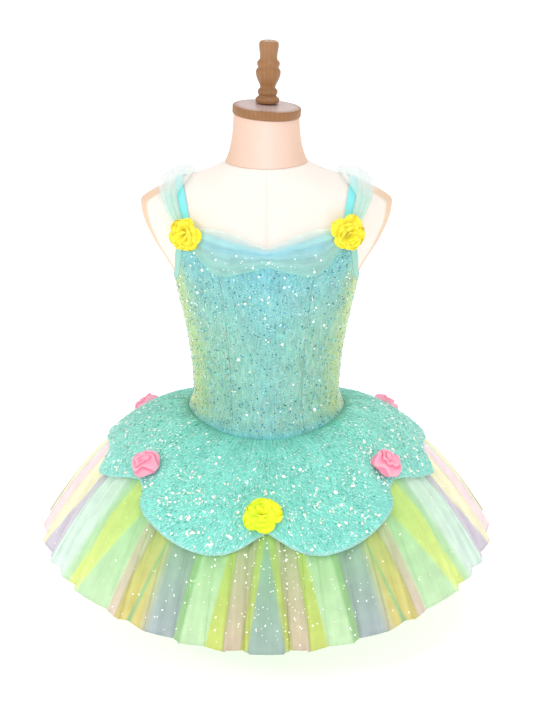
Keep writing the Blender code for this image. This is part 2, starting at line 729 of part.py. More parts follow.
def make_flowers():
    """Flowers on the shoulders and at the overskirt's notches."""
    ahead = 0.01
    x, z, radius, depth = SHOULDER_FLOWER
    for side, sign in (("left", 1), ("right", -1)):
        at = front_point(np.array(x * sign), np.array(z), SHOULDER_FLOWER_OUT)
        beyond = front_point(np.array(x * sign), np.array(z), SHOULDER_FLOWER_OUT + ahead)
        flower("flower_shoulder_" + side, "yellow_petal", at, beyond - at, radius, depth)
    for name, finish, degrees, share, radius in SKIRT_FLOWERS:
        at = skirt_point(degrees, share, out=SKIRT_FLOWER_OUT)
        beyond = skirt_point(degrees, share, out=SKIRT_FLOWER_OUT + ahead)
        flower(name, finish, at, beyond - at, radius, SKIRT_FLOWER_DEPTH)


def main():
    """Builds the dress form, then the garment from the skin outwards."""
    clear_scene()
    bpy.context.scene.collection.children.link(bpy.data.collections.new("tutu_leotard"))
    make_form()
    make_cap_and_finial()
    make_stand()
    make_leotard()
    make_straps_and_sleeves()
    make_drape()
    make_tulle()
    make_overskirt()
    make_flowers()


main()
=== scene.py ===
"""A child's ballet tutu leotard on a limbless table-top dress form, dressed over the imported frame.

Metres, +Z up, the garment's front faces -Y. Every piece is a surface given by
a formula over two parameters, or small discs strewn on one. They lie on the
same body and skirt shapes as the solids.
"""

import logging
import math
from dataclasses import dataclass
from enum import Enum
from typing import Callable, Sequence

import bpy
import numpy as np
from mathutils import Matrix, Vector

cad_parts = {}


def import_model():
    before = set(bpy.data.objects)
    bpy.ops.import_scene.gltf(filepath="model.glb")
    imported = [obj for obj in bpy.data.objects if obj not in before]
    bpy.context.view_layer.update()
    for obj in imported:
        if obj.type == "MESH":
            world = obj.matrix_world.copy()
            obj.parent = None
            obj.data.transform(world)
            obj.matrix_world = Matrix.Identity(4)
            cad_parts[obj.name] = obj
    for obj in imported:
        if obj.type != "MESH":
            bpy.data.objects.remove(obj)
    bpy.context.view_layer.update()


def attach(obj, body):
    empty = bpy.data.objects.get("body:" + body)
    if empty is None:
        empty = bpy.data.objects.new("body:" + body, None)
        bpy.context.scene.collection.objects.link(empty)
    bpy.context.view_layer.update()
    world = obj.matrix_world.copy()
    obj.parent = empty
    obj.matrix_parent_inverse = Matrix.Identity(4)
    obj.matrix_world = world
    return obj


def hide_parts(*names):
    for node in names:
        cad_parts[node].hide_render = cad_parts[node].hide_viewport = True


LOG = logging.getLogger("tutu")
Array = np.ndarray
Colour = tuple[float, float, float]
Span = tuple[float, float]
Edge = Callable[[Array], Array]
Surface = Callable[[Array, Array], Array]
Part = tuple[Array, Array, Array]   # points, faces and linear colours

SIDES = (("left", 1), ("right", -1))   # by the wearer, with the sign of X
ALL_ROUND = ((0.0, 360.0), (0.0, 1.0))   # degrees from centre front, share of the way up or out
FACE_STEPS = ((0, 0), (1, 0), (1, 1), (0, 1))   # steps along and up to a face's corners

# Walls and gaps, as in the solids
CLOTH = 0.0013
SHEER = 0.0012
FORM_CLEARANCE = 0.00099
BODICE_OUT = FORM_CLEARANCE + CLOTH
OVER_BODICE = BODICE_OUT + 0.0005
STRAP_OUT = BODICE_OUT + 0.0003
SLEEVE_OUT = OVER_BODICE + SHEER + 0.0004
TULLE_START_OUT = BODICE_OUT + 0.0009
SHOULDER_FLOWER_OUT = OVER_BODICE + SHEER + 0.0012
SEAM_GAP = 0.0003
NARROWEST_CUT = 0.0102   # a strap's cut, with the turned edge that it needs

# Dress form
FORM_BOTTOM = 0.130
NECK_SEAM = 0.5745
NECK_TOP = 0.6310
NECK_ROLL = math.radians(3.7)
CAP_RADIUS = 0.0415
CAP_THICK = 0.0105
CAP_DOME = 0.0030
FINIAL_LEAN = math.radians(1.6)
SHOULDER_RAY_Z = 0.490   # height from which rays over the shoulder start
LONGEST_RAY = 0.12
RAY_HALVINGS = 32
POLE_RADIUS = 0.011
POLE_OFFSET = 0.052
BASE_RADIUS = 0.115
BASE_THICK = 0.012

# Skirt
SEAM_SIDE_Z = 0.2570
SEAM_DIP = 0.0175
HEM_RADIUS = 0.2745
HEM_SIDE_EXTRA = 0.0130
HEM_Z = 0.0530
HEM_SIDE_RISE = 0.0370
DROOP = 2.2
DROOP_SIDE_LESS = 0.2
HEM_STEP = 0.006
SEAM_WAVE = 0.0006
OVERSKIRT_LIFT = 0.0050
OVERSKIRT_CLOTH = 0.0015
SKIRT_FLOWER_OUT = OVERSKIRT_LIFT + OVERSKIRT_CLOTH + 0.0002

BODY_ROWS = (  # height, half width, front depth, back depth
    (0.1300, 0.0930, 0.0730, 0.0760),
    (0.1340, 0.0985, 0.0780, 0.0815),
    (0.1600, 0.1070, 0.0850, 0.0890),
    (0.2000, 0.1095, 0.0870, 0.0910),
    (0.2350, 0.1040, 0.0825, 0.0840),
    (0.2580, 0.0972, 0.0780, 0.0765),
    (0.2800, 0.0902, 0.0740, 0.0700),
    (0.3190, 0.0925, 0.0740, 0.0700),
    (0.3610, 0.0985, 0.0770, 0.0745),
    (0.4030, 0.1070, 0.0815, 0.0795),
    (0.4360, 0.1152, 0.0840, 0.0830),
    (0.4510, 0.1230, 0.0830, 0.0840),
    (0.4800, 0.1405, 0.0775, 0.0830),
    (0.5125, 0.1530, 0.0680, 0.0780),
    (0.5264, 0.1545, 0.0620, 0.0730),
    (0.5360, 0.1430, 0.0580, 0.0690),
    (0.5450, 0.1250, 0.0545, 0.0650),
    (0.5520, 0.1050, 0.0520, 0.0610),
    (0.5600, 0.0800, 0.0500, 0.0570),
    (0.5680, 0.0605, 0.0490, 0.0530),
    (0.5745, 0.0505, 0.0480, 0.0500),
)
SLEEVE_EDGES = (  # degrees up and over from the front, inner and outer edge from centre
    (13.0, 0.0960, 0.1060),
    (35.0, 0.1040, 0.1200),
    (50.0, 0.1075, 0.1255),
    (62.0, 0.1010, 0.1290),
    (76.0, 0.0930, 0.1312),
    (98.0, 0.0880, 0.1330),
    (118.0, 0.0875, 0.1320),
    (145.0, 0.0910, 0.1225),
    (167.0, 0.0960, 0.1060),
)
NECK_ROWS = (  # height, half width, front depth, back depth
    (0.5748, 0.0500, 0.0475, 0.0495),
    (0.5876, 0.0453, 0.0440, 0.0450),
    (0.6061, 0.0416, 0.0408, 0.0412),
    (0.6310, 0.0396, 0.0396, 0.0396),
)
TOP_EDGE = (  # degrees from centre front, height of the neck and armhole edge, band height
    (0, 0.4820, 0.0090),
    (10, 0.4875, 0.0090),
    (20, 0.4945, 0.0090),
    (30, 0.5010, 0.0090),
    (39, 0.5030, 0.0100),
    (46, 0.4900, 0.0120),
    (52, 0.4745, 0.0120),
    (65, 0.4490, 0.0090),
    (80, 0.4340, 0.0065),
    (90, 0.4310, 0.0060),
    (100, 0.4340, 0.0065),
    (115, 0.4490, 0.0090),
    (128, 0.4745, 0.0120),
    (134, 0.4900, 0.0120),
    (141, 0.5030, 0.0100),
    (155, 0.4960, 0.0080),
    (180, 0.4900, 0.0080),
)
LEG_LINE = (  # degrees from centre front or back, height of the leg opening's edge
    (0, 0.1345),
    (17, 0.1345),
    (30, 0.1440),
    (50, 0.1680),
    (70, 0.1860),
    (90, 0.1920),
)
DRAPE_EDGES = (  # distance from centre, upper edge, lower edge
    (0.0000, 0.4865, 0.4650),
    (0.0180, 0.4935, 0.4590),
    (0.0320, 0.5000, 0.4555),
    (0.0480, 0.5045, 0.4510),
    (0.0600, 0.5065, 0.4520),
    (0.0750, 0.5070, 0.4640),
    (0.0860, 0.5050, 0.4780),
    (0.0940, 0.5030, 0.4900),
)
FINIAL_PROFILE = (  # radius, height above the cap, from the top down
    (0.0000, 0.0749),
    (0.0079, 0.0746),
    (0.0114, 0.0724),
    (0.0118, 0.0690),
    (0.0104, 0.0561),
    (0.0106, 0.0527),
    (0.0136, 0.0483),
    (0.0136, 0.0463),
    (0.0124, 0.0433),
    (0.0149, 0.0379),
    (0.0149, 0.0360),
    (0.0136, 0.0305),
    (0.0091, 0.0187),
    (0.0117, 0.0153),
    (0.0119, 0.0128),
    (0.0105, 0.0094),
    (0.0145, 0.0044),
    (0.0140, 0.0015),
    (0.0112, 0.0000),
    (0.0000, 0.0000),
)
PANELS = (  # node, degrees of its two seams
    ("bodice_front_centre", -28.0, 28.0),
    ("bodice_front_left", 28.0, 90.0),
    ("bodice_front_right", -90.0, -28.0),
    ("bodice_back_left", 90.0, 180.0),
    ("bodice_back_right", 180.0, 270.0),
)
BANDS = (  # node, degrees of its two ends
    ("neck_band_front", -39.0, 39.0),
    ("armhole_band_left", 39.0, 141.0),
    ("armhole_band_right", 219.0, 321.0),
    ("neck_band_back", 141.0, 219.0),
)
BRIEFS = (  # node, degrees of its two sides
    ("brief_front", -90.0, 90.0),
    ("brief_back", 90.0, 270.0),
)
BRIEF_COLOUR = (120, 210, 205)
TOP_FOLDS = (  # the top layer's folds, degrees from centre front, the same on both sides
    4.0, 5.5, 10.2, 15.7, 21.6, 23.7, 30.9, 36.6, 38.8, 44.2, 54.6, 57.0, 61.1, 66.0, 68.0, 74.0, 80.0,
    82.5, 89.0, 95.0, 97.5, 104.0, 110.0, 112.5, 119.0, 126.0, 128.5, 136.0, 142.0, 144.5, 152.0, 158.0,
    160.5, 170.5, 176.0,
)
TULLE_DYES = {  # one colour for each dyed tulle
    "slate": (150, 185, 180),
    "olive": (195, 210, 100),
    "sand": (215, 195, 170),
    "lime": (205, 225, 100),
    "mint": (200, 240, 190),
    "green": (150, 205, 145),
    "dusk": (160, 180, 190),
    "gold": (225, 210, 120),
    "blush": (230, 210, 190),
    "lemon": (230, 250, 140),
    "ice": (230, 252, 240),
    "lilac": (215, 207, 220),
    "cream": (255, 250, 210),
    "rose": (255, 232, 232),
}
# green of the layers under the top one, mixed with painted shade near the overskirt
UNDER_TULLE_AND_SHADE = (140, 205, 120)
HEM_WARMTH = (250, 235, 200)
TULLE_LEVEL = 0.90
VEILS = (  # colour, degrees of its outer edge at 0.7 of the way out and at the hem, softness, strength of its edge line: painted shade below 0, painted highlight above 0
    ("slate", 1.1, 4.7, 0.3, 0.00),
    ("olive", 3.3, 6.4, 0.3, -0.14),
    ("sand", 9.0, 10.7, 0.3, -0.16),
    ("lime", 11.4, 15.4, 0.3, 0.00),
    ("mint", 19.0, 21.5, 0.5, 0.05),
    ("green", 20.9, 23.8, 0.3, -0.06),
    ("dusk", 24.5, 27.0, 4.5, 0.00),
    ("dusk", 30.0, 31.5, 3.0, 0.00),
    ("gold", 30.4, 35.8, 0.3, 0.00),
    ("green", 31.0, 37.1, 0.3, 0.00),
    ("gold", 36.8, 40.1, 0.3, -0.16),
    ("blush", 40.5, 43.4, 0.3, 0.10),
    ("mint", 46.0, 54.6, 0.4, 0.04),
    ("lemon", 54.6, 59.0, 0.5, 0.00),
    ("mint", 57.8, 61.0, 1.6, 0.00),
    ("ice", 65.7, 68.4, 0.5, -0.04),
    ("ice", 68.4, 71.0, 0.5, -0.04),
    ("lilac", 73.2, 78.5, 0.8, 0.00),
    ("cream", 83.2, 84.5, 1.2, 0.00),
    ("rose", 89.0, 90.0, 0.6, -0.04),
    ("ice", 95.5, 97.0, 0.6, -0.04),
    ("cream", 102.0, 103.0, 1.0, 0.00),
    ("lilac", 108.0, 106.0, 0.5, -0.05),
    ("mint", 113.0, 112.0, 0.5, 0.00),
    ("ice", 119.0, 121.0, 0.6, 0.04),
    ("lemon", 126.0, 124.0, 0.4, -0.06),
    ("mint", 133.0, 135.0, 0.5, 0.00),
    ("blush", 139.0, 137.0, 0.3, 0.06),
    ("gold", 143.0, 145.0, 0.4, -0.12),
    ("green", 145.5, 147.5, 0.3, 0.00),
    ("dusk", 152.0, 150.5, 3.0, 0.00),
    ("mint", 159.0, 160.0, 0.4, -0.05),
    ("lime", 165.0, 164.0, 0.4, 0.04),
    ("sand", 170.0, 171.0, 0.3, -0.12),
    ("olive", 174.0, 173.0, 0.3, -0.10),
    ("slate", 181.0, 181.0, 0.3, 0.00),
)
HIDDEN_LAYERS = (  # node, pleats, drop below the seam, reach, hem lift, hem wave
    ("tulle_skirt_middle", 34, 0.0150, 0.930, 0.0040, 0.0036),
    ("tulle_skirt_lower", 30, 0.0240, 0.850, 0.0080, 0.0036),
)
HIDDEN_TULLE = ((190, 236, 190), (236, 250, 180), (226, 222, 216), (176, 228, 196), (240, 226, 200))
PLEAT_WIDTHS = (1.20, 0.85, 1.10, 0.75, 1.15, 1.00, 0.80, 1.15, 0.90, 1.10)
PLEAT_CREST = 0.62
PETALS = (  # node, degrees of its two notches
    ("petal_front_left", 0.0, 51.5),
    ("petal_side_left", 51.5, 128.0),
    ("petal_back_left", 128.0, 180.0),
    ("petal_back_right", 180.0, 232.0),
    ("petal_side_right", 232.0, 308.5),
    ("petal_front_right", 308.5, 360.0),
)
OVERSKIRT_EDGE = (  # degrees from centre front, share out to the hem; its notches are the petals' ends
    (0.0, 0.622), (2.0, 0.637), (5.0, 0.662), (8.5, 0.690), (13.0, 0.714), (18.0, 0.725), (23.0, 0.721),
    (28.0, 0.711), (33.0, 0.694), (39.0, 0.665), (43.0, 0.640), (45.2, 0.618), (46.6, 0.585), (47.6, 0.556),
    (51.5, 0.524), (56.2, 0.545), (60.8, 0.571), (64.8, 0.594), (68.5, 0.612), (72.2, 0.625), (74.5, 0.606),
    (77.0, 0.562), (79.5, 0.532), (84.0, 0.524), (89.0, 0.532), (95.0, 0.552), (101.0, 0.577), (110.0, 0.600),
    (119.0, 0.598), (128.0, 0.565), (131.0, 0.600), (137.0, 0.635), (146.0, 0.655), (156.0, 0.655),
    (166.0, 0.640), (174.0, 0.615), (180.0, 0.585),
)
PETAL_BIAS = {"front": 0.85, "side": 0.25, "back": 0.85}
SKIRT_FLOWERS = (  # node, degrees, share out to the hem, radius; one at each notch
    ("flower_skirt_front", 358.5, 0.550, 0.0228),
    ("flower_skirt_front_left", 51.5, 0.445, 0.0195),
    ("flower_skirt_side_left", 128, 0.520, 0.0195),
    ("flower_skirt_back", 180, 0.520, 0.0195),
    ("flower_skirt_side_right", 232, 0.520, 0.0195),
    ("flower_skirt_front_right", 308.5, 0.445, 0.0195),
)
LEMON_FLOWER = "flower_skirt_front"
SHOULDER_FLOWER = (0.0940, 0.4995, 0.0205)   # distance from centre, height, radius

# Floor, light and camera
FLOOR_REACH = 6.0
FLOOR_GLOW = 0.45
ROOM_LIGHT = 0.74
LAMPS = (  # name, place, size, power
    ("key", (-1.8, -1.6, 1.7), 0.7, 13.0),
    ("fill", (1.7, -1.9, 1.3), 1.4, 5.0),
    ("top", (0.3, -0.4, 2.4), 0.6, 7.0),
    ("back", (0.4, 2.2, 1.8), 1.4, 8.0),
)
LAMPS_AIM = (0.0, 0.0, 0.35)
CAMERA_AT = (0.0, -2.0, 1.0315)
CAMERA_PITCH = 19.5
CAMERA_LENS = 84.8


class Held(Enum):
    """How a piece of cloth is held, in the frame's words."""

    STRETCHED = "stretched"
    GATHERED = "gathered"
    DRAPED = "draped"
    FOLDED = "folded"


# Numbers and colours


def unit(value: Array) -> Array:
    """Holds values from 0 to 1."""
    return np.clip(value, 0, 1)


def normalised(vectors: Array) -> Array:
    """Scales vectors to a length of 1."""
    return vectors / np.linalg.norm(vectors, axis=-1, keepdims=True)


def folded(degrees: Array) -> Array:
    """Takes any angle to 0 at centre front and 180 at centre back."""
    return np.abs(np.mod(np.asarray(degrees, float) + 180, 360) - 180)


def nearest(degrees: Array) -> Array:
    """Gives the angle from centre front or centre back, whichever is nearer."""
    return np.minimum(folded(degrees), 180 - folded(degrees))


def linear(colour: Sequence[float]) -> Array:
    """Turns screen colours into the renderer's linear ones.

    Args:
        colour: Red, green and blue from 0 to 255, or an array that ends in them.

    Returns:
        The same shape, from 0 to 1, on the renderer's linear scale.
    """
    share = np.asarray(colour, float) / 255
    return np.where(share <= 0.04045, share / 12.92, ((share + 0.055) / 1.055) ** 2.4)


def painted(tint: Array, colour: Colour, share: Array) -> Array:
    """Lays a colour over others: (1 - share) of them and share of it.

    Args:
        tint: Linear colours.
        colour: Screen colour.
        share: How much of it shows, one value for each of them.

    Returns:
        Linear colours.
    """
    share = share[..., None]
    return tint * (1 - share) + linear(colour) * share


def smooth_table(rows: Sequence[Sequence[float]], column: int, at: Array) -> Array:
    """Reads a table's column at any place.

    The curve between two rows is a cubic whose slope at each row is the
    harmonic mean of its two neighbours' slopes, so it never overshoots.

    Args:
        rows: The table, whose first column rises.
        column: The column that is read.
        at: Places on the first column.

    Returns:
        The column's values at those places.
    """
    table = np.array([[r[0], r[column]] for r in rows], float)
    x, y = table[:, 0], table[:, 1]
    step = np.diff(x)
    slope = np.diff(y) / step
    tangent = np.zeros(len(x))
    tangent[0], tangent[-1] = slope[0], slope[-1]
    product = slope[:-1] * slope[1:]
    total = slope[:-1] + slope[1:]
    steady = (product > 0) & (total != 0)
    tangent[1:-1] = np.divide(2 * product, total, out=np.zeros_like(product), where=steady)
    at = np.clip(np.asarray(at, float), x[0], x[-1])
    k = np.clip(np.searchsorted(x, at, side="right") - 1, 0, len(step) - 1)
    t = (at - x[k]) / step[k]
    return (
        (1 + 2 * t) * (1 - t) ** 2 * y[k]
        + t * (1 - t) ** 2 * step[k] * tangent[k]
        + t * t * (3 - 2 * t) * y[k + 1]
        + t * t * (t - 1) * step[k] * tangent[k + 1]
    )


def curve_through(points: Array, samples: int, keep: bool = False) -> Array:
    """Runs a smooth curve through points in a plane, by its own length.

    Args:
        points: The points in order.
        samples: Points on the curve, evenly spaced.
        keep: Whether the given points are put among them.

    Returns:
        Points on the curve.
    """
    length = np.append(0, np.cumsum(np.linalg.norm(np.diff(points, axis=0), axis=1)))
    at = np.linspace(0, length[-1], samples)
    at = np.unique(np.concatenate([at, length])) if keep else at
    return np.stack([smooth_table(np.column_stack([length, points[:, k]]), 1, at) for k in (0, 1)], axis=1)


def blend_rows(rows: Sequence[tuple[float, Sequence[float]]], at: Array) -> Array:
    """Reads a row of colours at any place, straight between the stops.

    Args:
        rows: Place and screen colour of each stop, with rising places.
        at: Places.

    Returns:
        Linear colours, one for each place.
    """
    places = [r[0] for r in rows]
    colours = linear([r[1] for r in rows])
    return np.stack([np.interp(at, places, colours[:, k]) for k in range(3)], axis=-1)


def ripple(seed: int, across: Array, count: float, terms: int = 5) -> Array:
    """A wandering wave: sines whose rates lie near a count, with seeded phases.

    It is their sum over the root of their number. Above ten waves the rates
    are whole, so the wave meets itself all round.

    Args:
        seed: Fixes the rates and phases.
        across: Where the wave is read, from 0 to 1.
        count: Waves from 0 to 1.
        terms: Number of sines.

    Returns:
        Heights from about -1 to 1.
    """
    chance = np.random.default_rng(seed)
    rates = count * chance.uniform(0.6, 1.5, terms)
    rates = np.round(rates) if count > 10 else rates
    phases = chance.uniform(0, 2 * math.pi, terms)
    waves = [np.sin(2 * math.pi * r * across + p) for r, p in zip(rates, phases)]
    return np.sum(waves, axis=0) / math.sqrt(terms)


# Shapes


@dataclass(frozen=True)
class BodyShape:
    """The dress form's outside: at each height an oval with its own width and two depths."""

    def size(self, z: Array, front: Array) -> tuple[Array, Array]:
        """Gives the oval's half width and its depth at a height, the front depth where front is true."""
        depth = np.where(front, smooth_table(BODY_ROWS, 2, z), smooth_table(BODY_ROWS, 3, z))
        return smooth_table(BODY_ROWS, 1, z), depth

    def point(self, degrees: Array, z: Array, out: Array = 0.0) -> Array:
        """Gives a point on or off the form.

        It is (w sin a, -d cos a) moved out along the oval's level normal.

        Args:
            degrees: Angle from centre front towards the wearer's left.
            z: Height.
            out: Distance off the form.

        Returns:
            Points, in the shape that the three make together.
        """
        degrees, z, out = np.broadcast_arrays(*(np.asarray(v, float) for v in (degrees, z, out)))
        angle = np.radians(degrees)
        x_share, y_share = np.sin(angle), -np.cos(angle)
        width, depth = self.size(z, y_share < 0)
        normal = normalised(np.stack([x_share / width, y_share / depth], axis=-1))
        level = np.stack([width * x_share, depth * y_share], axis=-1) + normal * out[..., None]
        return np.concatenate([level, z[..., None]], axis=-1)

    def front(self, x: Array, z: Array, out: Array) -> Array:
        """Gives a point on the form's front by its distance from centre, its height and how far out it is."""
        width, _ = self.size(z, True)
        return self.point(np.degrees(np.arcsin(np.clip(x / width, -0.98, 0.98))), z, out)

    def ray(self, x: Array, turn: Array, out: Array) -> Array:
        """Gives where a ray in the plane of x leaves the form, found by halving.

        Args:
            x: The plane.
            turn: Degrees from the front, up and over to the back.
            out: Distance beyond the form, along the ray.

        Returns:
            Points.
        """
        x, turn, out = np.broadcast_arrays(*(np.asarray(v, float) for v in (x, turn, out)))
        y_way, z_way = -np.cos(np.radians(turn)), np.sin(np.radians(turn))
        near, far = np.zeros(x.shape), np.full(x.shape, LONGEST_RAY)
        for _ in range(RAY_HALVINGS):
            middle = (near + far) / 2
            y, z = y_way * middle, SHOULDER_RAY_Z + z_way * middle
            width, depth = self.size(z, y < 0)
            inside = ((x / width) ** 2 + (y / depth) ** 2 < 1) & (z < NECK_SEAM)
            near, far = np.where(inside, middle, near), np.where(inside, far, middle)
        reach = near + out
        return np.stack([x, y_way * reach, SHOULDER_RAY_Z + z_way * reach], axis=-1)


@dataclass(frozen=True)
class Layer:
    """How a layer lies under the skirt's surface.

    Attributes:
        drop: How far below the seam it starts.
        reach: Share of its way out that it goes.
        lift: How far its hem is raised.
    """

    drop: float = 0.0
    reach: float = 1.0
    lift: float = 0.0


@dataclass(frozen=True)
class SkirtShape:
    """The skirt's surface, which leaves the hip seam level and turns down towards the hem."""

    body: BodyShape

    def seam(self, degrees: Array) -> Array:
        """Gives the hip seam's height, highest at the sides and lower at centre front and back."""
        return SEAM_SIDE_Z - SEAM_DIP * np.cos(np.radians(degrees)) ** 2

    def surface(self, degrees: Array, share: Array, layer: Layer) -> Array:
        """Gives the skirt's surface before it is moved out.

        The way out is straight. The fall is a tenth of it straight and the
        rest a power of the share of the way out.

        Args:
            degrees: Angle from centre front.
            share: Share of the way from seam to hem.
            layer: The layer.

        Returns:
            Points.
        """
        angle = np.radians(degrees)
        side = np.sin(angle) ** 2
        start = self.body.point(degrees, self.seam(degrees) - layer.drop, TULLE_START_OUT)
        radius = HEM_RADIUS + HEM_SIDE_EXTRA * side
        end = np.stack([radius * np.sin(angle), -radius * np.cos(angle)], axis=-1)
        level = start[..., :2] + (end - start[..., :2]) * (share * layer.reach)[..., None]
        down = 0.10 * share + 0.90 * np.abs(share) ** (DROOP - DROOP_SIDE_LESS * side)
        z = start[..., 2] + (HEM_Z + HEM_SIDE_RISE * side + layer.lift - start[..., 2]) * down
        return np.concatenate([level, z[..., None]], axis=-1)

    def point(self, degrees: Array, share: Array, out: Array = 0.0, layer: Layer = Layer()) -> Array:
        """Gives a point of the skirt, moved out along the surface's own normal.

        Args:
            degrees: Angle from centre front.
            share: Share of the way from seam to hem.
            out: Distance off the surface.
            layer: The layer.

        Returns:
            Points.
        """
        degrees, share, out = np.broadcast_arrays(*(np.asarray(v, float) for v in (degrees, share, out)))
        step = 0.01
        along = self.surface(degrees, share + step, layer) - self.surface(degrees, share - step, layer)
        beside = self.surface(degrees + step, share, layer) - self.surface(degrees - step, share, layer)
        normal = normalised(np.cross(beside, along))
        normal = normal * np.where(normal[..., 2:] < 0, -1.0, 1.0)
        return self.surface(degrees, share, layer) + normal * out[..., None]


BODY = BodyShape()
SKIRT = SkirtShape(BODY)


def top_edge(degrees: Array) -> Array:
    """Gives the height of the leotard's neck and armhole edge at an angle."""
    return smooth_table(TOP_EDGE, 1, folded(degrees))


def band_foot(degrees: Array) -> Array:
    """Gives the height of the lower edge of the band along that edge."""
    return top_edge(degrees) - smooth_table(TOP_EDGE, 2, folded(degrees))


def bodice_low(degrees: Array) -> Array:
    """Gives the height of the bodice's lower edge."""
    return SKIRT.seam(degrees) + SEAM_GAP


def bodice_high(degrees: Array) -> Array:
    """Gives the height of the bodice's upper edge."""
    return band_foot(degrees) - SEAM_GAP


def brief_high(degrees: Array) -> Array:
    """Gives the height of the brief's upper edge."""
    return SKIRT.seam(degrees) - SEAM_GAP


def leg(degrees: Array) -> Array:
    """Gives the height of the leg openings' edges."""
    return smooth_table(LEG_LINE, 1, nearest(degrees))


def petal_edge(degrees: Array, start: float, end: float) -> Array:
    """Gives how far out a petal reaches between its two notches.

    Args:
        degrees: Angles all round.
        start: Angle of its first notch.
        end: Angle of its second notch.

    Returns:
        Shares out to the hem.
    """
    low, high = sorted((float(folded(start)), float(folded(end))))
    rows = [row for row in OVERSKIRT_EDGE if low <= row[0] <= high]
    return smooth_table(rows, 1, folded(degrees))


# Meshes


@dataclass
class Grid:
    """A surface through rows of points.

    Attributes:
        points: Rows by columns by three.
        tint: Linear colour of each point, or one colour for all.
        around: Whether the last column joins the first.
        flip: Whether the faces turn the other way.
        bias: How far the cloth's threads slant across for each metre up.
    """

    points: Array
    tint: Array
    around: bool = False
    flip: bool = False
    bias: float = 0.0

    def cells(self) -> tuple[Array, Array]:
        """Gives the row and the column at which each face starts.

        Returns:
            Rows and columns, in the faces' own grid.
        """
        rows, columns = self.points.shape[:2]
        spans = columns if self.around else columns - 1
        return np.meshgrid(np.arange(rows - 1), np.arange(spans), indexing="ij")

    def turned(self, faces: Array) -> Array:
        """Turns faces the other way where the surface is flipped."""
        return faces[:, ::-1] if self.flip else faces

    def corners(self) -> Array:
        """Gives each face's four corners.

        Returns:
            Places in the flattened points, four to a face.
        """
        columns = self.points.shape[1]
        i, j = self.cells()
        quads = [(i + up) * columns + (j + along) % columns for along, up in FACE_STEPS]
        return self.turned(np.stack(quads, axis=-1).reshape(-1, 4))

    def lengths(self) -> tuple[Array, Array]:
        """Gives the length run along each row and each column, from its start to each point.

        Returns:
            Lengths along the rows and along the columns.
        """
        across = np.concatenate([self.points, self.points[:, :1]], axis=1) if self.around else self.points
        u = np.cumsum(np.linalg.norm(np.diff(across, axis=1), axis=-1), axis=1)
        v = np.cumsum(np.linalg.norm(np.diff(self.points, axis=0), axis=-1), axis=0)
        return np.pad(u, ((0, 0), (1, 0))), np.pad(v, ((1, 0), (0, 0)))

    def uv(self) -> Array:
        """Gives each face corner's place on the cloth in metres, mean width across and mean length up.

        Returns:
            Faces by four by two.
        """
        i, j = self.cells()
        u, v = self.lengths()
        u_at, v_at = u.mean(axis=0), v.mean(axis=1)
        slant = self.bias * v_at
        places = [(u_at[j + along] + slant[i + up], v_at[i + up] + 0 * j) for along, up in FACE_STEPS]
        return self.turned(np.moveaxis(np.array(places), (0, 1), (2, 3)).reshape(-1, 4, 2))

    def part(self) -> Part:
        """Flattens the surface for its mesh.

        Returns:
            Its points, faces and linear colours.
        """
        tint = np.broadcast_to(self.tint, self.points.shape)
        return self.points.reshape(-1, 3), self.corners(), tint.reshape(-1, 3)

    def area(self) -> float:
        """Gives the surface's area, two triangles to a face.

        Returns:
            The area.
        """
        flat = self.points.reshape(-1, 3)
        a, b, c, d = (flat[self.corners()[:, k]] for k in range(4))
        halves = [np.linalg.norm(np.cross(p - a, q - a), axis=1) for p, q in ((b, c), (c, d))]
        return float((halves[0] + halves[1]).sum() / 2)


def sided(points: Array, tint: Array, sign: int) -> Grid:
    """Gives a surface made for the wearer's left, or its mirror image where the sign is -1."""
    return Grid(points * np.array([sign, 1, 1]), tint, flip=sign < 0)


@dataclass(frozen=True)
class Cut:
    """The flat piece that cloth was cut as.

    Attributes:
        width: Across the cut, all round on a tube.
        length: Along it.
        area: Its flat area.
    """

    width: float
    length: float
    area: float

    @classmethod
    def of(cls, grids: Sequence[Grid]) -> "Cut":
        """Measures the cut that a piece's grids were made from.

        Args:
            grids: The piece's surfaces, side by side.

        Returns:
            The sum of their greatest widths, their greatest length and the sum of their areas.
        """
        width = sum(float(g.lengths()[0][:, -1].max()) for g in grids)
        length = max(float(g.lengths()[1][-1].max()) for g in grids)
        area = sum(g.area() for g in grids)
        width = max(width, NARROWEST_CUT)
        return cls(width, length, min(area, width * length))

    @classmethod
    def wound(cls, grid: Grid) -> "Cut":
        """Measures cloth wound to a closed form, which shows it twice: the circle of half its area."""
        area = grid.area() / 2
        return cls(2 * math.sqrt(area / math.pi), 2 * math.sqrt(area / math.pi), area)


def join_parts(name: str, parts: Sequence[Part], uv: Array | None = None) -> bpy.types.Mesh:
    """Joins parts in one mesh, with their colours in a layer named tint.

    Args:
        name: The mesh's name.
        parts: Points, faces and linear colours of each part.
        uv: Each face corner's place on the cloth, where it has one.

    Returns:
        The mesh.
    """
    starts = np.cumsum([0] + [len(points) for points, _, _ in parts[:-1]])
    points = np.concatenate([p[0] for p in parts])
    faces = np.concatenate([p[1] + s for p, s in zip(parts, starts)])
    tint = np.concatenate([p[2] for p in parts])
    mesh = bpy.data.meshes.new(name)
    mesh.vertices.add(len(points))
    mesh.vertices.foreach_set("co", points.ravel())
    mesh.loops.add(faces.size)
    mesh.loops.foreach_set("vertex_index", faces.ravel().astype(np.int32))
    mesh.polygons.add(len(faces))
    mesh.polygons.foreach_set("loop_start", np.arange(0, faces.size, faces.shape[1], dtype=np.int32))
    mesh.update(calc_edges=True)
    if uv is not None:
        mesh.validate()
        mesh.uv_layers.new(name="cloth").data.foreach_set("uv", uv.ravel())
    layer = mesh.attributes.new("tint", "FLOAT_COLOR", "POINT")
    layer.data.foreach_set("color", np.concatenate([tint, np.ones((len(tint), 1))], axis=1).ravel())
    return mesh


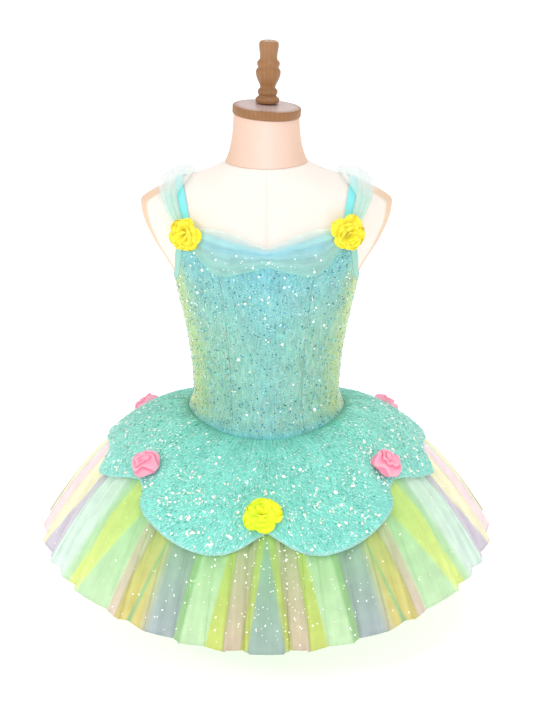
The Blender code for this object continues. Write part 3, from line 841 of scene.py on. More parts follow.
def mesh_of(name: str, grids: Sequence[Grid]) -> bpy.types.Mesh:
    """Joins grids in one smooth mesh with places on the cloth and colours.

    Args:
        name: The mesh's name.
        grids: The surfaces.

    Returns:
        The mesh.
    """
    mesh = join_parts(name, [g.part() for g in grids], np.concatenate([g.uv() for g in grids]))
    mesh.shade_smooth()
    return mesh


# Finishes


class Graph:
    """A node tree being filled."""

    def __init__(self, tree: bpy.types.NodeTree) -> None:
        """Keeps the tree, a material's or a group's."""
        self.tree = tree

    def add(self, kind: str, settings: dict | None = None, inputs: dict | None = None) -> bpy.types.Node:
        """Adds a node.

        Args:
            kind: The node's type.
            settings: Its properties.
            inputs: Values of its sockets, by name or place.

        Returns:
            The node.
        """
        node = self.tree.nodes.new(kind)
        for key, value in (settings or {}).items():
            setattr(node, key, value)
        for key, value in (inputs or {}).items():
            node.inputs[key].default_value = value
        return node

    def placed(
        self, place: str, kind: str, settings: dict | None = None, inputs: dict | None = None
    ) -> bpy.types.Node:
        """Adds a node that reads a place.

        Args:
            place: UV for the place on the cloth, Object for the place in the object.
            kind: The node's type.
            settings: Its properties.
            inputs: Values of its sockets.

        Returns:
            The node.
        """
        node = self.add(kind, settings, inputs)
        self.join(self.add("ShaderNodeTexCoord").outputs[place], node.inputs["Vector"])
        return node

    def join(self, source: bpy.types.NodeSocket, target: bpy.types.NodeSocket) -> None:
        """Links an output to an input."""
        self.tree.links.new(source, target)

    def maths(self, operation: str, *values: bpy.types.NodeSocket | float) -> bpy.types.NodeSocket:
        """Adds a sum.

        Args:
            operation: The sum's name.
            values: Sockets or numbers.

        Returns:
            Its result.
        """
        node = self.add("ShaderNodeMath", {"operation": operation})
        for place, value in enumerate(values):
            if isinstance(value, (int, float)):
                node.inputs[place].default_value = value
            else:
                self.join(value, node.inputs[place])
        return node.outputs[0]

    def spread(self, value: bpy.types.NodeSocket, span: Span, to: Span) -> bpy.types.NodeSocket:
        """Maps a span of values to another, held at its ends.

        Args:
            value: The value.
            span: Where the span starts and ends.
            to: What its start and its end become.

        Returns:
            The mapped value.
        """
        inputs = {1: span[0], 2: span[1], 3: to[0], 4: to[1]}
        node = self.add("ShaderNodeMapRange", {"clamp": True}, inputs)
        self.join(value, node.inputs[0])
        return node.outputs[0]

    def tint(self) -> bpy.types.NodeSocket:
        """Reads the mesh's tint."""
        return self.add("ShaderNodeAttribute", {"attribute_name": "tint"}).outputs["Color"]

    def scaled(self, colour: bpy.types.NodeSocket, level: bpy.types.NodeSocket) -> bpy.types.NodeSocket:
        """Makes a colour lighter or darker.

        Args:
            colour: The colour.
            level: What it is multiplied by.

        Returns:
            The new colour.
        """
        node = self.add("ShaderNodeVectorMath", {"operation": "SCALE"})
        self.join(colour, node.inputs[0])
        self.join(level, node.inputs["Scale"])
        return node.outputs[0]

    def bump(self, height: bpy.types.NodeSocket, shader: bpy.types.Node) -> None:
        """Gives a shader relief.

        Args:
            height: The relief's height in metres.
            shader: The shader.
        """
        node = self.add("ShaderNodeBump", None, {"Strength": 1.0, "Distance": 1.0})
        self.join(height, node.inputs["Height"])
        self.join(node.outputs["Normal"], shader.inputs["Normal"])


class Effects:
    """The node groups that the finishes share. Each is made once."""

    def __init__(self) -> None:
        """Starts with no groups."""
        self.made: dict[str, bpy.types.NodeTree] = {}

    def start(self, name: str, inputs: Sequence[str], outputs: Sequence[str]) -> tuple[Graph, dict, dict]:
        """Starts a group of float sockets.

        Args:
            name: Its name.
            inputs: Names of its inputs.
            outputs: Names of its outputs.

        Returns:
            Its graph, its input sockets and its output sockets.
        """
        tree = bpy.data.node_groups.new(name, "ShaderNodeTree")
        for keys, way in ((inputs, "INPUT"), (outputs, "OUTPUT")):
            for key in keys:
                tree.interface.new_socket(key, in_out=way, socket_type="NodeSocketFloat")
        graph = Graph(tree)
        source, sink = graph.add("NodeGroupInput"), graph.add("NodeGroupOutput")
        self.made[name] = tree
        return graph, {k: source.outputs[k] for k in inputs}, {k: sink.inputs[k] for k in outputs}

    def group(self, name: str) -> bpy.types.NodeTree:
        """Gives a group, making it the first time.

        Args:
            name: One of streaks, weave, specks, grain.

        Returns:
            The group's tree.
        """
        if name not in self.made:
            {"streaks": self.streaks, "weave": self.weave, "specks": self.specks, "grain": self.grain}[name]()
        return self.made[name]

    def streaks(self) -> None:
        """Noise on the cloth's own places, with its own rate across and along, from 0 to 1."""
        graph, ins, outs = self.start("streaks", ("Across", "Along"), ("Value",))
        rates = graph.add("ShaderNodeCombineXYZ")
        graph.join(ins["Across"], rates.inputs[0])
        graph.join(ins["Along"], rates.inputs[1])
        place = graph.placed("UV", "ShaderNodeVectorMath", {"operation": "MULTIPLY"})
        graph.join(rates.outputs[0], place.inputs[1])
        noise = graph.add("ShaderNodeTexNoise", None, {"Scale": 1.0, "Detail": 3.0, "Roughness": 0.6})
        graph.join(place.outputs[0], noise.inputs["Vector"])
        graph.join(noise.outputs["Fac"], outs["Value"])

    def weave(self) -> None:
        """Threads across and along the cloth, at a rate in threads a metre, from 0 to 1."""
        graph, ins, outs = self.start("weave", ("Rate",), ("Height",))
        place = graph.placed("UV", "ShaderNodeSeparateXYZ")
        turns = [graph.maths("MULTIPLY", place.outputs[axis], ins["Rate"]) for axis in (0, 1)]
        waves = [graph.maths("SINE", graph.maths("MULTIPLY", turn, 2 * math.pi)) for turn in turns]
        graph.join(graph.maths("MULTIPLY_ADD", graph.maths("MULTIPLY", *waves), 0.5, 0.5), outs["Height"])

    def specks(self) -> None:
        """Round specks at random places in the object, with how many cells have one and how wide they are."""
        graph, ins, outs = self.start("specks", ("Scale", "Share", "Width"), ("Mask", "Chance"))
        cells = graph.placed("Object", "ShaderNodeTexVoronoi", {"feature": "F1"}, {"Randomness": 1.0})
        graph.join(ins["Scale"], cells.inputs["Scale"])
        chance = graph.add("ShaderNodeSeparateColor")
        graph.join(cells.outputs["Color"], chance.inputs[0])
        near = graph.maths("LESS_THAN", cells.outputs["Distance"], ins["Width"])
        kept = graph.maths("LESS_THAN", chance.outputs[0], ins["Share"])
        graph.join(graph.maths("MULTIPLY", near, kept), outs["Mask"])
        graph.join(chance.outputs[1], outs["Chance"])

    def grain(self) -> None:
        """Wood grain along the object's height: bands of wandering rings and fine pores, from 0 to 1."""
        graph, ins, outs = self.start("grain", ("Rings",), ("Rings", "Pores"))
        place = graph.placed("Object", "ShaderNodeMapping", None, {"Scale": (1.0, 1.0, 0.12)})
        waves = {"Distortion": 4.0, "Detail": 3.0, "Detail Scale": 1.5}
        bands = graph.add("ShaderNodeTexWave", {"wave_type": "BANDS", "bands_direction": "X"}, waves)
        graph.join(ins["Rings"], bands.inputs["Scale"])
        pores = graph.add("ShaderNodeTexNoise", None, {"Scale": 900.0, "Detail": 2.0})
        for node, name in ((bands, "Rings"), (pores, "Pores")):
            graph.join(place.outputs[0], node.inputs["Vector"])
            graph.join(node.outputs["Fac"], outs[name])


EFFECTS = Effects()


@dataclass(frozen=True)
class Finish:
    """A finish whose colour starts from the mesh's tint.

    Attributes:
        name: The material's name.
        slot: The record's slot that it finishes; not used.
        roughness: Of the surface.
        sheen: Soft glow at grazing angles.
        alpha: How much of the light it stops.
        mottle: Share by which its colour wanders in patches.
        patches: Patches a metre.
        streak: Share by which its colour wanders in streaks.
        across: Streaks a metre across the cloth.
        along: Streaks a metre along it.
        crease: Height of the relief that follows the streaks.
        threads: Threads a metre.
        thread: Height of a thread.
        specular: Level of its gloss.
        glow: Painted glow: light given off in its own colour, as a share of that colour, which on thin cloth
            stands in for the light it passes on.
    """

    name: str
    slot: str
    roughness: float = 0.7
    sheen: float = 0.2
    alpha: float = 1.0
    mottle: float = 0.06
    patches: float = 55.0
    streak: float = 0.06
    across: float = 400.0
    along: float = 60.0
    crease: float = 0.0002
    threads: float = 900.0
    thread: float = 0.00004
    specular: float = 0.3
    glow: float = 0.0

    def effect(self, graph: Graph, name: str, **inputs: float) -> bpy.types.Node:
        """Adds a shared group.

        Args:
            graph: The material's graph.
            name: The group's name.
            inputs: Values of its inputs.

        Returns:
            The group's node.
        """
        return graph.add("ShaderNodeGroup", {"node_tree": EFFECTS.group(name)}, inputs)

    def wander(self, graph: Graph) -> tuple[bpy.types.NodeSocket, bpy.types.NodeSocket]:
        """Makes the colour that wanders about the tint, and the streaks that it follows.

        Args:
            graph: The material's graph.

        Returns:
            The colour and the streaks' value.
        """
        streaks = self.effect(graph, "streaks", Across=self.across, Along=self.along).outputs["Value"]
        noise = graph.placed("Object", "ShaderNodeTexNoise", None, {"Scale": self.patches, "Detail": 2.0})
        levels = [
            graph.spread(value, (0.3, 0.7), (1 - share, 1 + share))
            for value, share in ((streaks, self.streak), (noise.outputs["Fac"], self.mottle))
        ]
        return graph.scaled(graph.tint(), graph.maths("MULTIPLY", *levels)), streaks

    def relief(self, graph: Graph, streaks: bpy.types.NodeSocket, shader: bpy.types.Node) -> None:
        """Joins the relief of creases and threads to the shader.

        Args:
            graph: The material's graph.
            streaks: The streaks' value.
            shader: Its shader.
        """
        weave = self.effect(graph, "weave", Rate=self.threads).outputs["Height"]
        creases = graph.maths("MULTIPLY", streaks, self.crease)
        graph.bump(graph.maths("MULTIPLY_ADD", weave, self.thread, creases), shader)

    def shader(self, graph: Graph) -> bpy.types.Node:
        """Adds the shader with the finish's numbers.

        Args:
            graph: The material's graph, empty.

        Returns:
            The shader's node, joined to the output.
        """
        values = {
            "Roughness": self.roughness,
            "Sheen Weight": self.sheen,
            "Sheen Roughness": 0.4,
            "Alpha": self.alpha,
            "Specular IOR Level": self.specular,
            "Emission Strength": self.glow,
        }
        shader = graph.add("ShaderNodeBsdfPrincipled", None, values)
        graph.join(shader.outputs[0], graph.add("ShaderNodeOutputMaterial").inputs["Surface"])
        return shader

    def build(self) -> bpy.types.Material:
        """Makes the material.

        Returns:
            The material, made once.
        """
        found = bpy.data.materials.get(self.name)
        if found:
            return found
        made = bpy.data.materials.new(self.name)
        made.use_nodes = True
        made.node_tree.nodes.clear()
        graph = Graph(made.node_tree)
        self.paint(graph, self.shader(graph))
        return made

    def paint(self, graph: Graph, shader: bpy.types.Node) -> None:
        """Joins the colour and relief to the shader.

        Args:
            graph: The material's graph.
            shader: Its shader.
        """
        colour, streaks = self.wander(graph)
        graph.join(colour, shader.inputs["Base Color"])
        graph.join(colour, shader.inputs["Emission Color"])
        self.relief(graph, streaks, shader)


@dataclass(frozen=True)
class FoilCloth(Finish):
    """Cloth with tiny foil dots between its sequins.

    Attributes:
        dots: Cells a metre in which a dot can lie.
        dot_share: Share of cells with a dot.
        dot_width: Half width of a dot, in cells.
        dark: Screen colour of the darker dots.
        bright: Screen colour of the brighter dots.
    """

    dots: float = 420.0
    dot_share: float = 0.35
    dot_width: float = 0.34
    dark: Colour = (70, 170, 180)
    bright: Colour = (225, 255, 250)

    def paint(self, graph: Graph, shader: bpy.types.Node) -> None:
        """Joins the colour, with its dots, and the relief to the shader.

        Args:
            graph: The material's graph.
            shader: Its shader.
        """
        colour, streaks = self.wander(graph)
        for rate, tone in ((1.0, self.dark), (1.37, self.bright)):
            sizes = {"Scale": self.dots * rate, "Share": self.dot_share, "Width": self.dot_width}
            specks = self.effect(graph, "specks", **sizes).outputs
            mix = graph.add("ShaderNodeMix", {"data_type": "RGBA"}, {7: (*linear(tone), 1.0)})
            graph.join(graph.maths("MULTIPLY", specks["Mask"], specks["Chance"]), mix.inputs[0])
            graph.join(colour, mix.inputs[6])
            colour = mix.outputs[2]
        graph.join(colour, shader.inputs["Base Color"])
        self.relief(graph, streaks, shader)


@dataclass(frozen=True)
class Wood(Finish):
    """Turned wood, stained and rubbed to a low gloss.

    Attributes:
        rings: Rate of its bands.
        rougher: How much rougher its pale bands are.
    """

    rings: float = 60.0
    rougher: float = 0.12

    def paint(self, graph: Graph, shader: bpy.types.Node) -> None:
        """Joins the grain to the colour, the roughness and the relief.

        Args:
            graph: The material's graph.
            shader: Its shader.
        """
        grain = self.effect(graph, "grain", Rings=self.rings).outputs
        level = graph.spread(grain["Rings"], (0.0, 1.0), (1 - self.streak, 1 + self.streak))
        pores = graph.spread(grain["Pores"], (0.35, 0.6), (1 - self.mottle, 1.0))
        rough = graph.spread(grain["Rings"], (0.0, 1.0), (self.roughness, self.roughness + self.rougher))
        colour = graph.scaled(graph.tint(), graph.maths("MULTIPLY", level, pores))
        graph.join(colour, shader.inputs["Base Color"])
        graph.join(rough, shader.inputs["Roughness"])
        graph.bump(graph.maths("MULTIPLY", grain["Pores"], self.crease), shader)


@dataclass(frozen=True)
class Foil(Finish):
    """A sequin's or glitter dot's plastic foil, in the tint's colour.

    Attributes:
        metal: How metallic it is.
    """

    metal: float = 0.3

    def paint(self, graph: Graph, shader: bpy.types.Node) -> None:
        """Joins the tint to the shader.

        Args:
            graph: The material's graph.
            shader: Its shader.
        """
        tint = graph.tint()
        graph.join(tint, shader.inputs["Base Color"])
        graph.join(tint, shader.inputs["Emission Color"])
        shader.inputs["Metallic"].default_value = self.metal


FORM_CLOTH = Finish(
    "form_jersey", "form_cloth", 0.85, 0.25, mottle=0.015, streak=0.015, across=500, along=500, crease=0.00003
)
WOOD = Wood("stained_wood", "turned_wood", 0.38, 0.0, mottle=0.10, streak=0.05, crease=0.00006, specular=0.5)
PAINT = Finish(
    "stand_paint", "stand_metal", 0.4, 0.0, mottle=0.02, streak=0.01, crease=0.00002, thread=0.0, specular=0.5
)
SEQUIN_CLOTH = FoilCloth(
    "sequin_mesh", "sequin_cloth", 0.5, 0.5, mottle=0.10, streak=0.22, across=460, along=62, crease=0.0016
)
OVERSKIRT_CLOTH_FINISH = FoilCloth(
    "petal_mesh", "overskirt_cloth", 0.45, 0.2, mottle=0.08, streak=0.24, across=520, along=210,
    crease=0.0022, dots=380.0, dot_share=0.28, dark=(86, 214, 190), bright=(240, 255, 250),
)
STRETCH = Finish("stretch_jersey", "stretch_cloth", 0.6, 0.3, mottle=0.03, streak=0.03, crease=0.00008)
DRAPE = Finish(
    "drape_tulle", "sheer_tulle", 0.6, 0.3, alpha=0.55, streak=0.08, across=30, along=900, crease=0.0002
)
SLEEVE = Finish(
    "sleeve_tulle", "sheer_tulle", 0.6, 0.3, alpha=0.55, streak=0.0, across=300, along=25, crease=0.0
)
# The glow of the finishes below is painted light, given off in their own colour.
TULLE = Finish(
    "pleat_tulle", "rainbow_tulle", 0.6, 0.3, streak=0.05, across=300, along=10, crease=0.00020, glow=0.10
)
YELLOW = Finish(
    "yellow_chiffon", "yellow_petal", 0.65, 0.3, streak=0.05, across=500, along=120, crease=0.0002, glow=0.17
)
PINK = Finish(
    "pink_chiffon", "pink_petal", 0.65, 0.4, streak=0.06, across=300, along=300, crease=0.0002, glow=0.15
)
SEQUIN = Foil("sequin_foil", "sequin_cloth", 0.25, 0.0, metal=0.15, glow=0.12, specular=0.6)
GLITTER = Foil("glitter_foil", "rainbow_tulle", 0.3, 0.0, metal=0.0, glow=0.35, specular=0.6)


# Making pieces


@dataclass
class Workshop:
    """Makes pieces and puts them in the scene in place of the solids that they stand for.

    Attributes:
        made: Number of pieces made.
    """

    made: int = 0

    def piece(
        self, name: str, grids: Sequence[Grid], finish: Finish, nodes: Sequence[str] = (), wall: float = 0.0
    ) -> bpy.types.Object:
        """Makes a piece from grids, and puts it in the scene as enter does."""
        return self.enter(name, mesh_of(name, grids), finish, nodes, wall)

    def enter(
        self, name: str, mesh: bpy.types.Mesh, finish: Finish, nodes: Sequence[str] = (), wall: float = 0.0
    ) -> bpy.types.Object:
        """Puts a mesh in the scene.

        Args:
            name: The piece's name.
            mesh: Its mesh.
            finish: Its finish.
            nodes: The solids that it stands for.
            wall: Thickness put behind its surface, 0 for none.

        Returns:
            The piece, riding on the body.
        """
        made = bpy.data.objects.new(name, mesh)
        bpy.context.scene.collection.objects.link(made)
        made.data.materials.append(finish.build())
        if wall:
            solid = made.modifiers.new("wall", "SOLIDIFY")
            solid.thickness = wall
            solid.offset = -1
        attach(made, "root")
        if nodes:
            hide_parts(*nodes)
        self.made += 1
        LOG.info("%s: %d faces", name, len(mesh.polygons))
        return made

    def sheet(
        self,
        name: str,
        grids: Sequence[Grid],
        finish: Finish,
        nodes: Sequence[str],
        held: Held,
        rests_on: Sequence[str],
        wall: float = 0.0006,
        cut: Cut | None = None,
    ) -> bpy.types.Object:
        """Makes a piece of cloth and works out its cut, which goes no further.

        Args:
            name: The piece's name.
            grids: Its surfaces.
            finish: Its finish.
            nodes: The solids that it stands for.
            held: How it is held; not used.
            rests_on: What carries it; not used.
            wall: The cloth's thickness.
            cut: Its cut, where it isn't the grids laid flat.

        Returns:
            The piece.
        """
        made = self.piece(name, grids, finish, nodes, wall)
        cut = cut or Cut.of(grids)
        return made


# The dress form


def turned_grid(profile: Array, steps: int, tint: Array, place: Vector, lean: float) -> Grid:
    """Turns a profile about an upright line, leans it to one side and moves it.

    A point is (r sin a, -r cos a, h), turned by the lean about Y. It runs from
    the foot up, so its faces look outward.

    Args:
        profile: Radius and height, from the foot up.
        steps: Columns round it.
        tint: Linear colours, one a row, or one for all.
        place: Where its foot stands.
        lean: Angle, towards +X.

    Returns:
        The surface.
    """
    angle = np.arange(steps) * 2 * math.pi / steps
    radius, height = profile[:, :1], profile[:, 1:2]
    x, y, z = radius * np.sin(angle), -radius * np.cos(angle), height + 0 * angle
    cos, sin = math.cos(lean), math.sin(lean)
    leaned = np.stack([x * cos + z * sin, y, z * cos - x * sin], axis=-1)
    tint = tint[:, None, :] if tint.ndim == 2 else tint
    return Grid(leaned + np.array(place), np.broadcast_to(tint, leaned.shape), around=True)


@dataclass
class DressForm:
    """The limbless form, its wooden cap and finial, and its stand.

    Attributes:
        columns: Points round the torso.
        rows: Rings up the torso.
        groove: Depth of the groove down centre front.
        around: Points round the neck.
        cap_edge: Radius to which the cap's edges are eased.
        base_edge: Radius to which the base's rim is eased.
    """

    shop: Workshop
    columns: int = 178
    rows: int = 148
    groove: float = 0.00035
    around: int = 160
    cap_edge: float = 0.0018
    base_edge: float = 0.003

    def build(self) -> None:
        """Makes the torso, neck, cap, finial, pole and base."""
        self.torso()
        self.neck()
        self.wood()
        self.stand()

    def cloth_tint(self, degrees: Array, z: Array) -> Array:
        """Colours the jersey: ivory, with peach arm plates and a faint seam down centre front.

        Args:
            degrees: Angle from centre front.
            z: Height.

        Returns:
            Linear colours.
        """
        turn = nearest(degrees)
        below = unit((0.548 - z) / 0.010)
        tint = painted(linear((250, 241, 232)), (240, 208, 178), unit((turn - 69.5) / 3.0) * below)
        tint = painted(tint, (232, 214, 180), np.exp(-(((turn - 70.5) / 1.2) ** 2)) * below * 0.5)
        return painted(tint, (220, 196, 182), np.exp(-((folded(degrees) * 0.0013 / 0.0006) ** 2)) * 0.18)

    def jersey(self, name: str, grid: Grid, node: str) -> None:
        """Makes a padded piece covered in jersey. It stands for the node."""
        made = self.shop.piece(name, [grid], FORM_CLOTH, [node])

    def torso(self) -> None:
        """Makes the torso: its ovals, with a fine groove down centre front, and a cap at each end."""
        degrees = np.arange(self.columns) * 360 / self.columns
        z = np.linspace(FORM_BOTTOM, NECK_SEAM, self.rows)[:, None]
        points = BODY.point(degrees, z, -self.groove * np.exp(-((folded(degrees) * 0.0013 / 0.0008) ** 2)))
        tint = self.cloth_tint(*np.broadcast_arrays(degrees, z))
        shrink = np.array([0.98, 0.6, 0.0])[:, None, None] * [1, 1, 0] + [0, 0, 1]
        points = np.concatenate([(points[:1] * shrink)[::-1], points, points[-1:] * shrink])
        tint = np.concatenate([np.repeat(tint[:1], 3, axis=0), tint, np.repeat(tint[-1:], 3, axis=0)])
        self.jersey("dress_form_torso", Grid(points, tint, around=True), "form_torso")

    def neck(self) -> None:
        """Makes the neck, whose top rolls to one side."""
        angle = np.arange(self.around) * 2 * math.pi / self.around
        z = np.linspace(NECK_ROWS[0][0], NECK_TOP, 60)[:, None]
        depth = np.where(np.cos(angle) > 0, smooth_table(NECK_ROWS, 2, z), smooth_table(NECK_ROWS, 3, z))
        x, y = smooth_table(NECK_ROWS, 1, z) * np.sin(angle), -depth * np.cos(angle)
        roll = math.tan(NECK_ROLL) * unit((z - NECK_SEAM) / (NECK_TOP - NECK_SEAM))
        points = np.stack([x, y, z - x * roll], axis=-1)
        ends = points[[0, -1]] * [0.0, 0.0, 1.0]
        ends[1, :, 2] = NECK_TOP
        points = np.concatenate([ends[:1], points, ends[1:]])
        # Painted shade: the neck is lightest at its middle, front and back, and darker towards its sides.
        front = unit(1 - np.abs(points[..., 0]) / 0.045)
        tint = painted(linear((238, 200, 176)), (248, 218, 203), front)
        self.jersey("dress_form_neck", Grid(points, tint, around=True), "form_neck")

    def wood(self) -> None:
        """Makes the cap, with eased edges and a low dome, and the turned finial on it."""
        edge, top = self.cap_edge, CAP_THICK
        arc = np.radians(np.linspace(-90, 0, 6))
        foot = np.stack([CAP_RADIUS - edge + edge * np.cos(arc), edge + edge * np.sin(arc)], axis=1)
        brow = np.stack([foot[::-1, 0], top - foot[::-1, 1]], axis=1)
        share = np.linspace(1, 0, 12)[1:, None]
        dome = np.concatenate([(CAP_RADIUS - edge) * share, top + CAP_DOME * (1 - share ** 2)], axis=1)
        profile = np.concatenate([[[0.0, 0.0]], foot, brow, dome])
        # Painted highlight: the cap's domed top is pale grey pink, where it faces the light above.
        tint = painted(linear((160, 112, 68)), (198, 172, 166), unit((profile[:, 1] - top) / 0.0008))
        place = Vector((0.0, 0.0, NECK_TOP + SEAM_GAP))
        cap = turned_grid(profile, 96, tint, place, NECK_ROLL)
        self.shop.piece("wooden_cap", [cap], WOOD, ["neck_cap"])
        profile = curve_through(np.array(FINIAL_PROFILE[::-1]), 130, keep=True)
        stops = [(0.0, (154, 108, 66)), (0.03, (160, 112, 66)), (0.075, (172, 124, 82))]
        tint = blend_rows(stops, profile[:, 1])
        foot_dip = FINIAL_PROFILE[-2][0] * math.tan(NECK_ROLL - FINIAL_LEAN)
        place = Vector((0.001, 0.0, NECK_TOP + CAP_THICK + CAP_DOME + 2 * SEAM_GAP + foot_dip))
        finial = turned_grid(profile, 72, tint, place, FINIAL_LEAN)
        self.shop.piece("turned_finial", [finial], WOOD, ["finial"])

    def stand(self) -> None:
        """Makes the round base, with an eased rim, and the short pole."""
        arc = np.radians(np.linspace(0, 90, 8))
        edge, bevel = self.base_edge, 0.0008
        rim = [BASE_RADIUS - edge * (1 - np.cos(arc)), BASE_THICK - edge * (1 - np.sin(arc))]
        foot = [[0, 0], [BASE_RADIUS - bevel, 0], [BASE_RADIUS, bevel]]
        profile = np.concatenate([foot, np.stack(rim, axis=1), [[0, BASE_THICK]]])
        tint = linear((214, 210, 200))
        base = turned_grid(profile, 120, tint, Vector((0, 0, 0)), 0.0)
        self.shop.piece("round_base", [base], PAINT, ["stand_base"])
        low, high = BASE_THICK + SEAM_GAP, FORM_BOTTOM - SEAM_GAP
        profile = np.array([[0, low], [POLE_RADIUS, low], [POLE_RADIUS, high], [0, high]])
        pole = turned_grid(profile, 48, tint, Vector((POLE_OFFSET, 0, 0)), 0.0)
        self.shop.piece("short_pole", [pole], PAINT, ["stand_pole"])


# Sequins and glitter


@dataclass(frozen=True)
class Strewn:
    """Small discs strewn on a surface.

    Attributes:
        count: Discs tried.
        small: Least radius.
        large: Greatest radius.
        colours: Screen colour and weight of each kind.
        seed: Fixes where they fall.
        tilt: Spread of their tilt off the surface, in radians.
        narrow: Width of a disc as a share of its length.
        lift: Height above the surface.
        heading: Angle from the first parameter's way to a disc's length, if they are in line.
        stray: Spread of that angle, in radians.
        dome: Height of a disc's middle as a share of its radius.
    """

    count: int
    small: float
    large: float
    colours: tuple[tuple[Colour, float], ...]
    seed: int
    tilt: float = 0.25
    narrow: float = 1.0
    lift: float = 0.0003
    heading: Edge | None = None
    stray: float = 0.22
    dome: float = 0.12

    def discs(self, surface: Surface, spans: Sequence[Span], keep: Surface) -> Part:
        """Makes the discs: six corners about a raised middle, in the surface's own plane.

        Args:
            surface: Gives points for two parameters.
            spans: Lowest and highest of each parameter.
            keep: Gives the chance, from 0 to 1, that a disc at two parameters stays.

        Returns:
            Points, triangles and linear colours.
        """
        chance = np.random.default_rng(self.seed)
        a = chance.uniform(*spans[0], self.count)
        b = chance.uniform(*spans[1], self.count)
        stays = chance.uniform(0, 1, self.count) < keep(a, b)
        a, b = a[stays], b[stays]
        n = len(a)
        centre = surface(a, b)
        near, step = 0.02, (spans[1][1] - spans[1][0]) * 1e-3
        first = normalised(surface(a + near, b) - surface(a - near, b))
        normal = normalised(np.cross(first, surface(a, b + step) - surface(a, b - step)))
        lean = chance.normal(0, self.tilt, (n, 2))
        second = np.cross(normal, first)
        normal = normalised(normal + first * lean[:, :1] + second * lean[:, 1:])
        if self.heading:
            turn = (self.heading(a) + chance.normal(0, self.stray, n))[:, None]
        else:
            turn = chance.uniform(0, 2 * math.pi, n)[:, None]
        one = first * np.cos(turn) + second * np.sin(turn)
        one = normalised(one - normal * (one * normal).sum(axis=1, keepdims=True))
        two = np.cross(normal, one) * self.narrow
        radius = (self.small + (self.large - self.small) * chance.uniform(0, 1, n) ** 2)[:, None, None]
        corner = (np.arange(6) * math.pi / 3)[None, :, None]
        ring = one[:, None] * np.cos(corner) + two[:, None] * np.sin(corner)
        high = centre + normal * (self.lift + radius[:, 0] * self.dome)
        ring = centre[:, None] + normal[:, None] * self.lift + ring * radius
        points = np.concatenate([high[:, None], ring], axis=1).reshape(-1, 3)
        k = np.arange(6)
        triangles = np.stack([0 * k, 1 + k, 1 + (k + 1) % 6], axis=1)[None] + np.arange(n)[:, None, None] * 7
        weights = np.array([w for _, w in self.colours])
        kinds = chance.choice(len(weights), n, p=weights / weights.sum())
        tint = linear([c for c, _ in self.colours])[kinds] * chance.uniform(0.9, 1.1, (n, 1))
        return points, triangles.reshape(-1, 3), np.repeat(tint, 7, axis=0)


# The leotard


